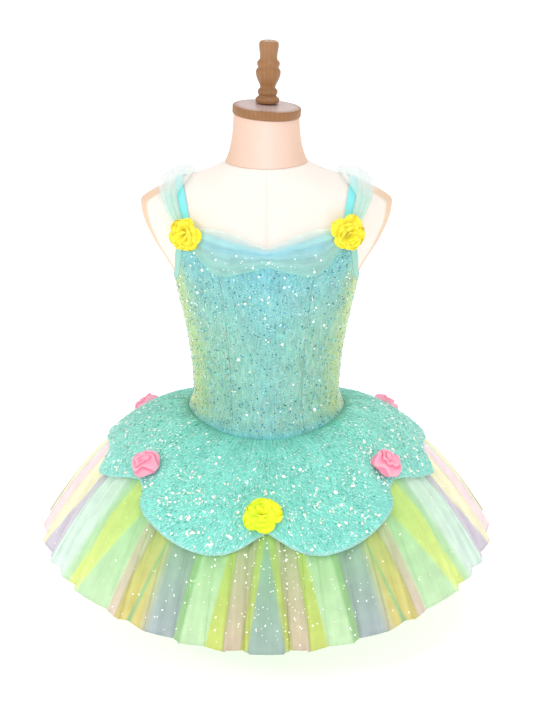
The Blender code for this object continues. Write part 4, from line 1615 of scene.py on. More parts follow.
@dataclass
class Leotard:
    """The bodice panels and their sequins, the bands, the brief, the gusset, the straps and the sleeves.

    Attributes:
        step: Size of a panel's faces.
        wall: Thickness of the stretch and sequin cloth.
        turn_in: How much a panel's edges turn in along the seams.
        wrinkle: Height of the bodice's wrinkles.
        strap_half: Half width of a strap.
        puff: Height of a sleeve's puff.
    """

    shop: Workshop
    step: float = 0.0022
    wall: float = 0.0008
    turn_in: float = 0.00012
    wrinkle: float = 0.00018
    strap_half: float = 0.0045
    puff: float = 0.0095

    def build(self) -> None:
        """Makes the leotard from the panels to the sleeves."""
        for node, start, end in PANELS:
            self.panel(node, start, end, bodice_low, bodice_high, SEQUIN_CLOTH)
        for node, start, end in BANDS:
            self.panel(node, start, end, band_foot, top_edge, STRETCH)
        for node, start, end in BRIEFS:
            self.panel(node, start, end, leg, brief_high, STRETCH, 2 * self.step)
        self.gusset()
        self.straps()
        self.sleeves()
        self.sequins()

    def stretched(self, name: str, grid: Grid, finish: Finish, node: str) -> None:
        """Makes a piece of stretched cloth on the form.

        Args:
            name: The piece's name.
            grid: Its surface.
            finish: Its finish.
            node: The solid that it stands for.
        """
        self.shop.sheet(name, [grid], finish, [node], Held.STRETCHED, ["dress_form_torso"], wall=self.wall)

    def bodice_tint(self, degrees: Array, share: Array) -> Array:
        """Colours the sequin cloth: aqua in front, a painted sheen of green and then yellow towards the
        sides, a painted rim highlight of near white at the sides, and blue at its foot.

        Pale patches wander over it, and the front is bluer towards the neck.

        Args:
            degrees: Angle from centre front.
            share: Share of the way up.

        Returns:
            Linear colours.
        """
        turn = nearest(degrees)
        # Painted sheen: green and then yellow towards the sides; the near white at 90 degrees is a painted
        # rim highlight.
        stops = [(0, (146, 208, 200)), (45, (148, 202, 172)), (65, (186, 214, 128)), (90, (250, 255, 190))]
        across = ripple(91, degrees / 360 + 0.03 * np.sin(share * 9), 34)
        pale = unit(unit(across * ripple(92, share + degrees / 90, 5)) * 3) * 0.30
        tint = painted(blend_rows(stops, turn), (196, 212, 204), pale)
        tint = painted(tint, (126, 220, 238), unit(1 - share / 0.06) * 0.7)
        return painted(tint, (116, 198, 218), unit((share - 0.50) / 0.4) * 0.6 * unit((66 - turn) / 20))

    def panel(
        self, node: str, start: float, end: float, low: Edge, high: Edge, finish: Finish, step: float = 0.0
    ) -> None:
        """Makes a panel on the form between two angles.

        Its surface is the form's, moved out by the bodice's distance, and its
        edges turn in a little along the seams.

        Args:
            node: The solid that it stands for.
            start: Angle at which it starts.
            end: Angle at which it ends.
            low: Gives its lower edge's height for an angle.
            high: Gives its upper edge's height for an angle.
            finish: Its finish.
            step: Size of its faces, where it isn't the leotard's own.
        """
        trim = math.degrees(SEAM_GAP / 4 / 0.08)
        step = step or self.step
        columns = max(8, int(abs(end - start) * 0.0018 / step))
        angles = np.linspace(start + trim, end - trim, columns + 1)
        rows = max(6, int(float(np.max(high(angles) - low(angles))) / step))
        share = np.linspace(0, 1, rows + 1)[:, None]
        z = low(angles) * (1 - share) + high(angles) * share
        across = np.linspace(0, 1, columns + 1)
        edge = np.minimum(np.minimum(across, 1 - across) * columns, 2.0) / 2
        rise = np.minimum(np.minimum(share, 1 - share) * rows, 2.0) / 2
        out = BODICE_OUT - self.turn_in * (1 - edge * rise)
        angles = np.broadcast_to(angles, z.shape)
        if finish is SEQUIN_CLOTH:
            swing = 0.6 + 0.4 * np.sin(share * 13 + across * 5)
            wave = ripple(int(abs(start)) + 3, across + 0.05 * np.sin(share * 9), 46) * swing
            out = out + self.wrinkle * wave * edge * rise
            tint = self.bodice_tint(angles, np.broadcast_to(share, z.shape))
        else:
            tint = self.band_tint(angles, node)
        self.stretched("cloth_" + node, Grid(BODY.point(angles, z, out), tint), finish, node)

    def band_tint(self, degrees: Array, node: str) -> Array:
        """Colours the stretch cloth: bright aqua in front, greyer at the armholes, plain on the brief.

        Args:
            degrees: Angle from centre front.
            node: The solid that it stands for.

        Returns:
            Linear colours.
        """
        if node.startswith("armhole"):
            return np.broadcast_to(linear((158, 214, 200)), (*degrees.shape, 3))
        if node.startswith("brief"):
            return np.broadcast_to(linear(BRIEF_COLOUR), (*degrees.shape, 3))
        stops = [(0, (150, 214, 232)), (15, (150, 226, 228)), (39, (150, 232, 228))]
        return blend_rows(stops, nearest(degrees))

    def gusset(self) -> None:
        """Makes the strip under the form that joins the brief's front and back."""
        lowest = FORM_BOTTOM - FORM_CLEARANCE - CLOTH
        top = LEG_LINE[0][1] - SEAM_GAP
        front = -float(BODY.size(np.array(top), True)[1]) - BODICE_OUT
        back = float(BODY.size(np.array(top), False)[1]) + BODICE_OUT
        corner = 0.0045
        profile = [
            (front, top),
            (front + corner * 0.35, lowest + corner * 0.35),
            (front + corner * 1.6, lowest),
            (front * 0.5, lowest - 0.0010),
            (0.0, lowest - 0.0015),
            (back * 0.5, lowest - 0.0010),
            (back - corner * 1.6, lowest),
            (back - corner * 0.35, lowest + corner * 0.35),
            (back, top),
        ]
        y, z = curve_through(np.array(profile), 90).T[..., None]
        across = np.linspace(-1, 1, 31)
        half = 0.030 * (1 - 0.22 * (1 - np.abs(y) / back))
        inset = 0.0022 * across ** 2 * unit((np.abs(y) - back * 0.86) / (back * 0.06))
        points = np.stack([half * across, y - np.sign(y) * inset, z + 0 * across], axis=-1)
        self.stretched("cloth_gusset", Grid(points, linear(BRIEF_COLOUR), flip=True), STRETCH, "gusset")

    def straps(self) -> None:
        """Makes the flat strap over each shoulder, along rays turned from the front to the back."""
        turn = np.linspace(13.5, 166.5, 120)[:, None]
        k = np.linspace(-1, 1, 13)
        x = 0.0955 + 0.0115 * np.sin(np.radians(turn)) ** 2 + self.strap_half * k
        points = BODY.ray(x, turn, STRAP_OUT - 0.0002 * k ** 4)
        for side, sign in SIDES:
            grid = sided(points, linear((140, 238, 240)), sign)
            self.stretched("cloth_strap_" + side, grid, STRETCH, "strap_" + side)

    def sleeves(self) -> None:
        """Makes the puffed tulle over each strap, gathered in lengthwise folds to its ends."""
        first, last = SLEEVE_EDGES[0][0], SLEEVE_EDGES[-1][0]
        turn = np.linspace(first, last, 110)[:, None]
        k = np.linspace(-1, 1, 49)
        rise = unit(np.sin(math.pi * (turn - first) / (last - first)))
        inner, outer = smooth_table(SLEEVE_EDGES, 1, turn), smooth_table(SLEEVE_EDGES, 2, turn)
        puff = self.puff * rise ** 1.3 * (1 - k * k) + 0.0007 * rise * np.cos(3 * math.pi * k)
        folds = 0.0003 * ripple(21, k * 0.5 + 0.5 + 0.04 * np.sin(turn * 0.05), 4)
        out = SLEEVE_OUT + 0.0016 * rise + np.maximum(puff, 0.0) + folds * unit(rise * 3)
        points = BODY.ray((inner + outer) / 2 + (outer - inner) / 2 * k, turn, out)
        shade = unit(0.5 + 0.5 * ripple(22, k * 0.5 + 0.5 + 0 * turn, 3))
        tint = painted(linear((160, 228, 212)), (196, 242, 232), shade)
        # Painted highlight: the crest over the shoulder turns almost white.
        tint = painted(tint, (250, 253, 252), unit((turn - 48) / 26) * unit((150 - turn) / 30) * 0.95)
        for side, sign in SIDES:
            name, node, rests = "tulle_sleeve_" + side, "sleeve_" + side, ["cloth_strap_" + side]
            self.shop.sheet(name, [sided(points, tint, sign)], SLEEVE, [node], Held.GATHERED, rests, wall=0.0)

    def sequins(self) -> None:
        """Strews the bodice with dark and aqua sequins, and white ones that are painted glints, more of those
        by the neck.
        """

        def surface(degrees: Array, share: Array) -> Array:
            """Gives the bodice's points by angle and share of the way up."""
            low, high = bodice_low(degrees), bodice_high(degrees)
            return BODY.point(degrees, low * (1 - share) + high * share, BODICE_OUT + 0.0001)

        def inside(degrees: Array, share: Array) -> Array:
            """Keeps the sequins off the seams at its foot and top."""
            return (share > 0.02) * (share < 0.985) * 1.0

        def front_top(degrees: Array, share: Array) -> Array:
            """Keeps a tenth of them low down and all of them by the neck."""
            return inside(degrees, share) * (0.10 + 0.90 * unit((share - 0.45) / 0.4))

        dark = (((60, 140, 160), 3), ((44, 120, 120), 2), ((80, 160, 200), 2))
        aqua = (((150, 230, 235), 3), ((120, 215, 205), 3), ((190, 235, 190), 1))
        # Painted highlight: the white sequins stand for glints of light off the sequins.
        white = (((255, 255, 250), 3), ((250, 248, 225), 1), ((225, 250, 255), 1))
        lots = [
            Strewn(1900, 0.0007, 0.0013, dark, 11).discs(surface, ALL_ROUND, inside),
            Strewn(5200, 0.0006, 0.0011, aqua, 12).discs(surface, ALL_ROUND, inside),
            Strewn(900, 0.0010, 0.0021, white, 13).discs(surface, ALL_ROUND, front_top),
        ]
        self.shop.enter("bodice_sequins", join_parts("bodice_sequins", lots), SEQUIN)


# The bust drape


@dataclass
class BustDrape:
    """The sheer drape across the bust, gathered under the shoulder flowers.

    Attributes:
        folds: Lengthwise folds.
    """

    shop: Workshop
    folds: int = 4

    def surface(self, x: Array, share: Array) -> Array:
        """Gives the drape's surface: lengthwise folds that lie flat by the flowers.

        Args:
            x: Distance from centre.
            share: Share of the way from its lower to its upper edge.

        Returns:
            Points.
        """
        upper = smooth_table(DRAPE_EDGES, 1, np.abs(x))
        lower = smooth_table(DRAPE_EDGES, 2, np.abs(x))
        slack = unit((0.070 - np.abs(x)) / 0.030)
        swell = 0.0011 * (1 + np.cos(share * math.pi * 2 * self.folds)) + 0.0016 * np.sin(share * math.pi)
        fine = 0.00022 * ripple(31, share + 0.6 * np.abs(x), 11) * (0.4 + 0.6 * slack)
        return BODY.front(x, lower * (1 - share) + upper * share, OVER_BODICE + SHEER + swell * slack + fine)

    def build(self) -> None:
        """Makes the drape and its glitter."""
        half = DRAPE_EDGES[-1][0]
        x, share = np.broadcast_arrays(np.linspace(-half, half, 171), np.linspace(0, 1, 49)[:, None])
        stops = [
            (0.0, (164, 226, 206)), (0.08, (186, 236, 222)), (0.35, (198, 242, 232)),
            (0.62, (190, 244, 255)), (1.0, (232, 248, 240)),
        ]
        # Painted shade: the drape is darker in the valleys between its folds.
        fold_shade = unit(0.5 - 0.5 * np.cos(share * math.pi * 2 * self.folds))[..., None] * 0.10
        grid = Grid(self.surface(x, share), blend_rows(stops, share) * (1 - fold_shade))
        rests = ["cloth_bodice_front_centre", "cloth_neck_band_front"]
        self.shop.sheet("tulle_bust_drape", [grid], DRAPE, ["bust_drape"], Held.DRAPED, rests, wall=0.0)
        dots = Strewn(64, 0.0006, 0.0015, (((255, 255, 255), 1),), 32, lift=0.0004)
        spans = ((-0.065, 0.065), (0.0, 1.0))
        lot = dots.discs(self.surface, spans, lambda x, share: (share > 0.08) * (share < 0.5) * 1.0)
        self.shop.enter("drape_glitter", join_parts("drape_glitter", [lot]), GLITTER)


# The skirt


@dataclass
class Skirt:
    """The three tulle layers, the petals of the overskirt, and what glitters on them.

    Attributes:
        lap: Degrees by which a strip of the top layer laps the next.
        fold_wave: Height of the top layer's folds at the hem.
        bow: How far a strip bows between its folds.
        crumple: Height of its crumples.
    """

    shop: Workshop
    lap: float = 0.22
    fold_wave: float = 0.0042
    bow: float = 0.0009
    crumple: float = 0.0005

    def build(self) -> None:
        """Makes the skirt from the lowest layer up."""
        for layer in HIDDEN_LAYERS[::-1]:
            self.hidden(*layer)
        self.top_layer()
        for petal in PETALS:
            self.petal(*petal)
        self.petal_sequins()
        self.glitter()

    def hidden(self, node: str, count: int, drop: float, reach: float, lift: float, hem_wave: float) -> None:
        """Makes a lower layer: a rounded zigzag round the skirt whose height grows to the hem.

        Args:
            node: The solid that it stands for.
            count: Pleats.
            drop: How far below the seam it starts.
            reach: Share of its way out that it goes.
            lift: How far its hem is raised.
            hem_wave: Half the pleats' height at the hem.
        """
        widths = np.resize(PLEAT_WIDTHS, count)
        edges = np.concatenate([[0], np.cumsum(widths)]) / widths.sum() * 360
        crests = edges[:-1] + PLEAT_CREST * np.diff(edges)
        places = np.append(np.stack([edges[:-1], crests], axis=1).ravel(), 360.0)
        heights = np.append(np.tile([-1.0, 1.0], count), -1.0)
        degrees = np.linspace(0, 360, count * 10, endpoint=False)
        zigzag = np.sin(np.interp(degrees, places, heights) * math.pi / 2) * 0.9
        share = np.linspace(1, 0, 20)[:, None]
        wave = SEAM_WAVE + (hem_wave - SEAM_WAVE) * share ** 1.5
        step = HEM_STEP * share ** 6 * (zigzag > 0)
        points = SKIRT.point(degrees, share + step * 0.5, wave * zigzag, Layer(drop, reach, lift))
        kind = np.searchsorted(places, degrees, side="right") // 2 % len(HIDDEN_TULLE)
        tint = np.broadcast_to(linear(HIDDEN_TULLE)[kind] * 0.92, points.shape)
        grid = Grid(points, tint, around=True)
        self.shop.sheet("cloth_" + node, [grid], TULLE, [node], Held.GATHERED, ["cloth_brief_front"])

    def top_layer(self) -> None:
        """Makes the top layer as strips side by side, each a flat pleat that laps its neighbour.

        A strip runs from a high fold to a low one or back, on both sides
        alike. Those across centre front and centre back are whole.
        """
        ends = np.array([-TOP_FOLDS[0], *TOP_FOLDS, 360 - TOP_FOLDS[-1]])
        levels = [1 if fold % 2 == 0 else -1 for fold in range(len(TOP_FOLDS))]
        levels = [levels[0], *levels, levels[-1]]
        chance = np.random.default_rng(41)
        grids = []
        for k in range(len(ends) - 1):
            long = chance.uniform(-0.002, 0.003)
            for side in (1,) if k in (0, len(ends) - 2) else (1, -1):
                grids.append(self.strip(ends[k], ends[k + 1], (levels[k], levels[k + 1]), long, side))
        rests = ["cloth_tulle_skirt_middle"]
        self.shop.sheet(
            "cloth_tulle_skirt_top", grids, TULLE, ["tulle_skirt_top"], Held.GATHERED, rests, wall=0.0004
        )

    def veils(self, degrees: Array, share: Array) -> Array:
        """Paints the tulle: strips of colour whose edges slant outward, sharp or blended, some with a dark
        line of painted shade at the edge and a few with a light line of painted highlight.

        In front the green of the layers under it and painted shade show near the
        overskirt, and the cloth turns a little warmer by the hem.

        Args:
            degrees: Angle from centre front.
            share: Share of the way out to the hem.

        Returns:
            Linear colours.
        """
        half = folded(degrees)
        along = (share - 0.7) / 0.3
        tint, shade = np.zeros(half.shape + (3,)), np.ones(half.shape)
        for name, high, low, soft, line in VEILS[::-1]:
            edge = high + (low - high) * along
            inside = unit(0.5 - (half - edge) / (soft * 1.5))
            tint = painted(tint, TULLE_DYES[name], inside * inside * (3 - 2 * inside))
            shade = shade * (1 + line * np.exp(-(((half - edge) / 0.32) ** 2)))
        fade = unit((share - 0.62) / 0.38) ** 1.2
        front = unit((78 - nearest(degrees)) / 40)
        # Painted shade near the overskirt, together with the green of the layers under it.
        tint = painted(tint, UNDER_TULLE_AND_SHADE, 0.62 * front * (1 - fade))
        tint = painted(tint, HEM_WARMTH, 0.14 * front * fade)
        return tint * shade[..., None] * TULLE_LEVEL

    def strip(self, start: float, end: float, levels: tuple[int, int], long: float, side: int) -> Grid:
        """Makes a strip of the top layer between two folds.

        Args:
            start: Angle at which it starts.
            end: Angle at which it ends.
            levels: 1 where its start or end is a high fold, -1 where it is low.
            long: Share by which it reaches past the hem.
            side: 1 on the wearer's left, -1 on the right.

        Returns:
            The strip.
        """
        first, second = levels
        across = np.linspace(0, 1, max(7, int((end - start) * 2.6) + 4))
        degrees = start - self.lap + (end - start + 2 * self.lap) * across
        share = np.concatenate([np.linspace(1, 0.5, 25), np.linspace(0.5, 0, 7)[1:]])[:, None]
        wave = SEAM_WAVE + (self.fold_wave - SEAM_WAVE) * share ** 1.5
        high = first + (second - first) * across
        bow = self.bow * share * np.sin(math.pi * across) * (-1 if first == second else 1)
        crumple = self.crumple * ripple(int(start * 7) + 50, across * 0.7 + 0.15 * share, 3) * share
        step = HEM_STEP * share ** 6 * (high + 1) / 2 + long * share ** 4
        points = SKIRT.point(degrees, share + step, wave * high + bow + crumple)
        shades = 1 + 0.04 * ripple(int(start * 5) + 200, across * 0.8 + share, 1.6)[..., None]
        return sided(points, self.veils(*np.broadcast_arrays(degrees * side, share)) * shades, side)

    def petal_surface(self, degrees: Array, share: Array, out: Array = 0.0) -> Array:
        """Gives the overskirt's surface, which rises from the waist in its first third, moved out."""
        lift = OVERSKIRT_LIFT * np.minimum(1.0, 0.25 + share / 0.62 * 3) + OVERSKIRT_CLOTH - 0.0004
        return SKIRT.point(degrees, share, lift + out)

    def petal(self, node: str, start: float, end: float) -> None:
        """Makes a petal: gathered in radial creases at the waist, smooth and gently waved at its edge.

        Args:
            node: The solid that it stands for.
            start: Angle of its first notch.
            end: Angle of its second notch.
        """
        trim = math.degrees(SEAM_GAP / 8 / 0.09)
        columns = int((end - start) * 2.4)
        across = (1 - np.cos(np.linspace(0, math.pi, columns + 1))) / 2
        degrees = start + trim + across * (end - start - 2 * trim)
        run = np.append(np.linspace(1, 0, 46), -0.012)[:, None]
        share = petal_edge(start + across * (end - start), start, end) * run
        place, aside = folded(degrees) / 360, np.abs(np.sin(np.radians(degrees)))
        gathers = 0.0008 * ripple(60, place + 0.0012 * np.sin(run * 14), 190) * unit(1.2 - run)
        gathers = gathers * unit(run * 12) + 0.0004 * ripple(62, run + 0.02 * np.sin(degrees / 3), 26) * run
        wave = 0.0012 * ripple(61, place, 22) * run ** 2
        rim = -0.0005 * unit((run - 0.985) / 0.015)
        points = self.petal_surface(np.broadcast_to(degrees, share.shape), share, gathers + wave + rim)
        # Painted shade: the first stop is darker right at the waist.
        stops = [
            (0.0, (112, 222, 196)), (0.07, (144, 240, 222)), (0.7, (138, 233, 214)),
            (0.985, (142, 235, 219)), (1.0, (190, 244, 234)),
        ]
        tint = blend_rows(stops, np.broadcast_to(run, share.shape))
        # Painted shade: dark green in the tucks at the waist's sides.
        tint = painted(tint, (44, 160, 104), 0.75 * (unit(aside * 1.6 - 0.5) * np.exp(-((run / 0.05) ** 2))))
        # Painted shade: dark green lines along the gathers near the waist.
        gather_shade = unit(ripple(63, place + 0.0015 * np.sin(run * 9), 150)) * np.exp(-((run / 0.16) ** 2))
        tint = painted(tint, (62, 178, 138), unit(gather_shade * 1.6) * 0.5)
        # Painted highlight: the petals grow paler towards the sides.
        tint = painted(tint, (170, 236, 220), unit(aside - 0.55) * 0.7)
        bias = PETAL_BIAS[node.split("_")[1]] * (1 if start < 180 else -1)
        grid, rests = Grid(points, tint, bias=bias), ["cloth_tulle_skirt_top"]
        self.shop.sheet(
            "cloth_" + node, [grid], OVERSKIRT_CLOTH_FINISH, [node], Held.GATHERED, rests, wall=0.0008
        )

    def edge_at(self, degrees: Array) -> Array:
        """Gives how far out the overskirt reaches at any angle.

        Args:
            degrees: Angle from centre front.

        Returns:
            Shares out to the hem.
        """
        edge = np.zeros(np.shape(degrees))
        for _, start, end in PETALS[:3]:
            inside = (folded(degrees) >= start) & (folded(degrees) <= end)
            edge = np.where(inside, petal_edge(degrees, start, end), edge)
        return edge

    def petal_sequins(self) -> None:
        """Strews the overskirt with cream, white and aqua sequins, more of the large ones by its edge; its
        white and pale dashes are partly a painted sheen.
        """

        def surface(degrees: Array, run: Array) -> Array:
            """Gives the overskirt's points by angle and share of the way to its edge."""
            return self.petal_surface(degrees, run * self.edge_at(degrees), 0.0010)

        def inside(degrees: Array, run: Array) -> Array:
            """Keeps more of them towards the edge."""
            return (run > 0.04) * (run < 0.985) * (0.25 + 0.75 * run)

        def outer(degrees: Array, run: Array) -> Array:
            """Keeps them in clumps that thicken towards the edge."""
            clump = 0.5 + 0.5 * ripple(73, degrees / 360 + 0.3 * run, 40)
            return (run > 0.12) * (run < 0.975) * unit(run * run * 1.5) * np.clip(clump * 1.8 - 0.6, 0.06, 1)

        def woven(degrees: Array) -> Array:
            """Lays them along the cloth's threads, which slant the other way on each side."""
            half = np.radians(46 + 36 * unit(folded(degrees) / 75))
            return np.where(np.mod(degrees, 360) < 180, half, math.pi - half)

        cream = (((255, 253, 242), 3), ((255, 244, 224), 1), ((240, 255, 255), 1))
        aqua = (((225, 250, 240), 2), ((160, 240, 228), 4), ((70, 180, 160), 4))
        # The white and pale dashes are sequins, and partly a painted sheen of highlights.
        dash = (((196, 255, 246), 5), ((236, 255, 250), 3), ((52, 170, 146), 2))
        dashes = Strewn(15000, 0.0010, 0.0019, dash, 74, tilt=0.12, narrow=0.30, lift=0.0001, heading=woven)
        lots = [
            Strewn(9500, 0.0009, 0.0023, cream, 71).discs(surface, ALL_ROUND, outer),
            Strewn(2600, 0.0005, 0.0010, aqua, 72).discs(surface, ALL_ROUND, inside),
            dashes.discs(surface, ALL_ROUND, inside),
        ]
        self.shop.enter("overskirt_sequins", join_parts("overskirt_sequins", lots), SEQUIN)

    def glitter(self) -> None:
        """Strews the top tulle layer with narrow white dots, most of them by centre front."""

        def surface(degrees: Array, share: Array) -> Array:
            """Gives points just above the top layer's high folds."""
            return SKIRT.point(degrees, share, 0.0052 * share ** 1.5 + 0.0008)

        def chance(degrees: Array, share: Array) -> Array:
            """Keeps most of them by centre front, and none under the overskirt."""
            near = np.exp(-((folded(degrees) / 24.0) ** 2))
            return (0.10 + 0.90 * near) * (share > self.edge_at(degrees)) * share

        white = (((255, 255, 255), 3), ((255, 252, 236), 1))
        dots = Strewn(4600, 0.0006, 0.0016, white, 81, narrow=0.6, lift=0.0002)
        lot = dots.discs(surface, ((0.0, 360.0), (0.4, 0.99)), chance)
        self.shop.enter("tulle_glitter", join_parts("tulle_glitter", [lot]), GLITTER)


# The flowers


@dataclass(frozen=True)
class Seat:
    """Where a flower sits: its back's centre and the way it faces."""

    at: Array
    facing: Array

    @classmethod
    def on(cls, surface: Edge, out: float) -> "Seat":
        """Gives the seat at a distance out, which faces the way that distance grows."""
        return cls(surface(out), surface(out + 0.01) - surface(out))

    def place(self, points: Array) -> Array:
        """Moves points from the flower's own frame, whose +Z it faces along, to the scene's."""
        turn = np.array(Vector(self.facing).to_track_quat("Z", "Y").to_matrix())
        return points @ turn.T + self.at


@dataclass(frozen=True)
class Whorl:
    """A ring of petals in a peony, as shares of its radius and depth.

    Attributes:
        count: Petals.
        foot: Radius at which they start.
        reach: Length outward.
        rise: Height that they gain.
        width: Half width.
        base: Height at which they start.
        cup: How far their sides stand up.
        turn: Angle of the first one, in petals.
        curl: How far their tips bend back.
    """

    count: int
    foot: float
    reach: float
    rise: float
    width: float
    base: float
    cup: float
    turn: float
    curl: float


PEONY = (
    Whorl(5, 0.10, 1.00, 0.34, 0.58, 0.02, 0.10, 0.00, 0.30),
    Whorl(4, 0.08, 0.76, 0.60, 0.60, 0.14, 0.12, 0.50, 0.26),
    Whorl(3, 0.04, 0.48, 0.72, 0.54, 0.26, 0.10, 0.20, 0.22),
    Whorl(2, 0.02, 0.26, 0.66, 0.38, 0.34, 0.12, 0.60, 0.10),
)


@dataclass
class Flowers:
    """The flowers on the shoulders and on the overskirt's notches.

    Attributes:
        depth: Height of a flower.
        ruffle: Height of the ruffles on a yellow petal's rim.
    """

    shop: Workshop
    depth: float = 0.0155
    ruffle: float = 0.0027

    def build(self) -> None:
        """Makes all eight flowers."""
        x, z, radius = SHOULDER_FLOWER
        for number, (side, sign) in enumerate(SIDES):
            seat = Seat.on(lambda out: BODY.front(np.array(x * sign), np.array(z), out), SHOULDER_FLOWER_OUT)
            node, rests = "flower_shoulder_" + side, ["tulle_bust_drape"]
            self.peony(node, seat, radius, number + 1, (255, 246, 70), rests)
        rests = ["cloth_petal_front_left"]
        for number, (node, degrees, share, radius) in enumerate(SKIRT_FLOWERS):
            seat = Seat.on(lambda out: SKIRT.point(degrees, share, out), SKIRT_FLOWER_OUT)
            if node == LEMON_FLOWER:
                self.peony(node, seat, radius, 7, (255, 255, 70), rests)
            else:
                self.rosette(node, seat, radius, number + 20, rests)

    def peony(
        self, node: str, seat: Seat, radius: float, seed: int, colour: Colour, rests: Sequence[str]
    ) -> None:
        """Makes a yellow flower of rings of cupped petals.

        A petal runs out from its foot and up. Its half width swells to just
        past its middle and closes in an oval, its sides stand up by the
        square of the way across, and its rim is ruffled.

        Args:
            node: The solid that it stands for.
            seat: Where it sits.
            radius: Its radius.
            seed: Fixes its petals' turns and ruffles.
            colour: Screen colour.
            rests: What carries it.
        """
        chance = np.random.default_rng(seed)
        across, along = np.meshgrid(np.linspace(-1, 1, 13), np.linspace(0, 1, 15))
        widest = 0.58
        tip = np.sqrt(unit(1 - (unit(along - widest) / (1 - widest)) ** 2))
        bow = (0.30 + 0.70 * np.sin(unit(along / widest) * math.pi / 2)) * tip
        grids = []
        for ring, whorl in enumerate(PEONY):
            for number in range(whorl.count):
                size = radius * chance.uniform(0.84, 1.10)
                turn = (number + whorl.turn + chance.uniform(-0.20, 0.20)) * 2 * math.pi / whorl.count
                ruffle = ripple(seed * 31 + ring * 7 + number, across * 0.5 + 0.5, 2.2) * along ** 2
                out = size * (whorl.foot + whorl.reach * along)
                side = size * whorl.width * bow * across
                up = self.depth * (whorl.base + whorl.rise * np.sin(along * math.pi / 2))
                up = up + size * whorl.cup * across ** 2 * bow - self.depth * whorl.curl * along ** 4
                up = up + self.ruffle * ruffle
                x = out * math.cos(turn) - side * math.sin(turn)
                y = out * math.sin(turn) + side * math.cos(turn)
                shade = unit(0.74 + 0.26 * along + 0.10 * ruffle)[..., None]
                hue = chance.uniform()
                dye = (0.82 + 0.18 * hue, 1.0, 0.7) if node == LEMON_FLOWER else (1.0, 0.90 + 0.10 * hue, 1.0)
                tint = linear(colour) * shade * np.array(dye)
                grids.append(Grid(seat.place(np.stack([x, y, up], axis=-1)), tint, flip=True))
        self.shop.sheet("petals_" + node, grids, YELLOW, [node], Held.FOLDED, rests, wall=0.0003)

    def rosette(self, node: str, seat: Seat, radius: float, seed: int, rests: Sequence[str]) -> None:
        """Makes a pink flower of chiffon wound in overlapping folds on a dome.

        Its height is the dome's plus a saw wave along a spiral: the wave's
        place is 2.5 turns for the way out plus one for the way round, and
        wanders. Each fold swells slowly and drops at its lip.

        Args:
            node: The solid that it stands for.
            seat: Where it sits.
            radius: Its radius.
            seed: Fixes its wandering.
            rests: What carries it.
        """
        steps = 150
        p = np.random.default_rng(seed).uniform(0, 2 * math.pi, 6)
        a = np.arange(steps) * 2 * math.pi / steps
        out = np.linspace(0, 1, 74)[:, None]
        wander = 0.34 * np.cos(2 * a + p[0] + 2 * out) + 0.24 * np.cos(3 * a + p[1] + 3 * out)
        wander = wander + 0.12 * np.cos(5 * a + p[2] - 4 * out)
        place = 2.5 * out ** 0.85 + a / (2 * math.pi) + wander * unit(out * 3)
        share = place - np.floor(place)
        swell = share ** 0.6 * unit((1 - share) / 0.10)
        dome = 0.20 + 0.72 * np.sqrt(unit(1 - out ** 2.4))
        lumps = 0.11 * np.cos(4 * a + p[3] + 5 * out) + 0.09 * np.cos(3 * a + p[4] - 3 * out)
        folds = 0.30 * (swell - 0.5) * unit(out * 4) * unit((1.04 - out) * 6)
        lobes = 1 + 0.05 * np.cos(5 * a + p[5]) + 0.03 * np.cos(3 * a + p[1])
        r = radius * 0.96 * lobes * (out + 0.02 * swell * out)
        points = np.stack([r * np.cos(a), r * np.sin(a), self.depth * (dome + folds + lumps * out)], axis=-1)
        under = [points[-1:] * [0.86, 0.86, 0.3], points[-1:] * [0.5, 0.5, 0.0], points[-1:] * 0.0]
        points = np.concatenate([points, *under])
        # Painted highlight: each fold grows paler towards its lip.
        pale = np.concatenate([swell ** 2, np.zeros((len(under), steps))])
        tint = painted(linear((236, 132, 162)), (252, 184, 202), pale)
        grid = Grid(seat.place(points), tint, around=True, flip=True)
        cut = Cut.wound(grid)
        self.shop.sheet("petals_" + node, [grid], PINK, [node], Held.FOLDED, rests, wall=0.0, cut=cut)


# The floor, the light and the camera


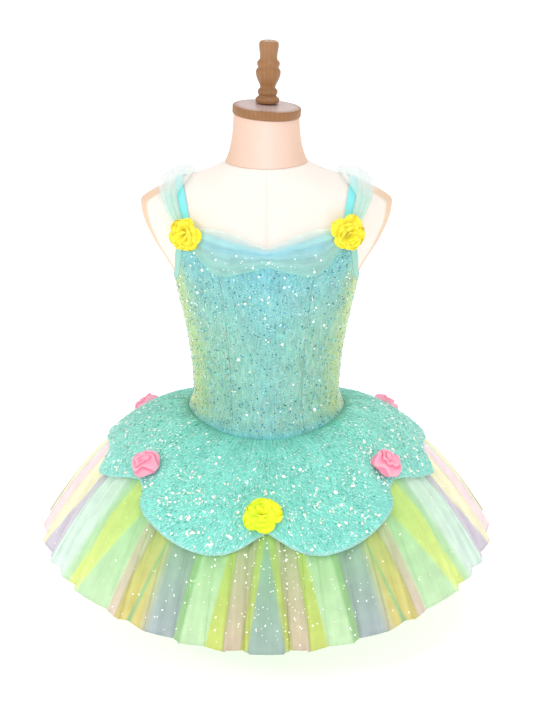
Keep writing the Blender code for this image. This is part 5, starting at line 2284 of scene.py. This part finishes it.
def set_stage() -> None:
    """Makes the pale floor, the even white light and the camera at the photograph's angle."""
    mesh = bpy.data.meshes.new("floor")
    corners = [(-FLOOR_REACH, -FLOOR_REACH, 0), (FLOOR_REACH, -FLOOR_REACH, 0)]
    corners += [(FLOOR_REACH, FLOOR_REACH, 0), (-FLOOR_REACH, FLOOR_REACH, 0)]
    mesh.from_pydata(corners, [], [(0, 1, 2, 3)])
    floor = bpy.data.objects.new("floor", mesh)
    bpy.context.scene.collection.objects.link(floor)
    plain = bpy.data.materials.new("plain_floor")
    plain.use_nodes = True
    face = plain.node_tree.nodes["Principled BSDF"]
    face.inputs["Base Color"].default_value = (0.90, 0.90, 0.90, 1.0)
    face.inputs["Roughness"].default_value = 0.9
    face.inputs["Emission Color"].default_value = (1.0, 1.0, 1.0, 1.0)
    face.inputs["Emission Strength"].default_value = FLOOR_GLOW
    mesh.materials.append(plain)

    scene = bpy.context.scene
    world = bpy.data.worlds.new("white_room")
    world.use_nodes = True
    world.node_tree.nodes["Background"].inputs["Color"].default_value = (1.0, 1.0, 1.0, 1.0)
    world.node_tree.nodes["Background"].inputs["Strength"].default_value = ROOM_LIGHT
    scene.world = world
    scene.view_settings.view_transform = "Standard"
    for name, place, size, power in LAMPS:
        light = bpy.data.lights.new(name, "AREA")
        light.size = size
        light.energy = power
        lamp = bpy.data.objects.new(name, light)
        lamp.location = place
        lamp.rotation_euler = (Vector(LAMPS_AIM) - Vector(place)).to_track_quat("-Z", "Y").to_euler()
        scene.collection.objects.link(lamp)

    lens = bpy.data.cameras.new("photo_camera")
    lens.lens = CAMERA_LENS
    camera = bpy.data.objects.new("photo_camera", lens)
    camera.location = CAMERA_AT
    camera.rotation_euler = (math.radians(90 - CAMERA_PITCH), 0.0, 0.0)
    scene.collection.objects.link(camera)
    scene.camera = camera


def main() -> None:
    """Loads the frame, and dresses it."""
    logging.basicConfig(level=logging.INFO, format="%(message)s")
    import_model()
    shop = Workshop()
    set_stage()
    DressForm(shop).build()
    Leotard(shop).build()
    BustDrape(shop).build()
    Skirt(shop).build()
    Flowers(shop).build()
    LOG.info("%d pieces", shop.made)


if __name__ == "__main__":
    main()
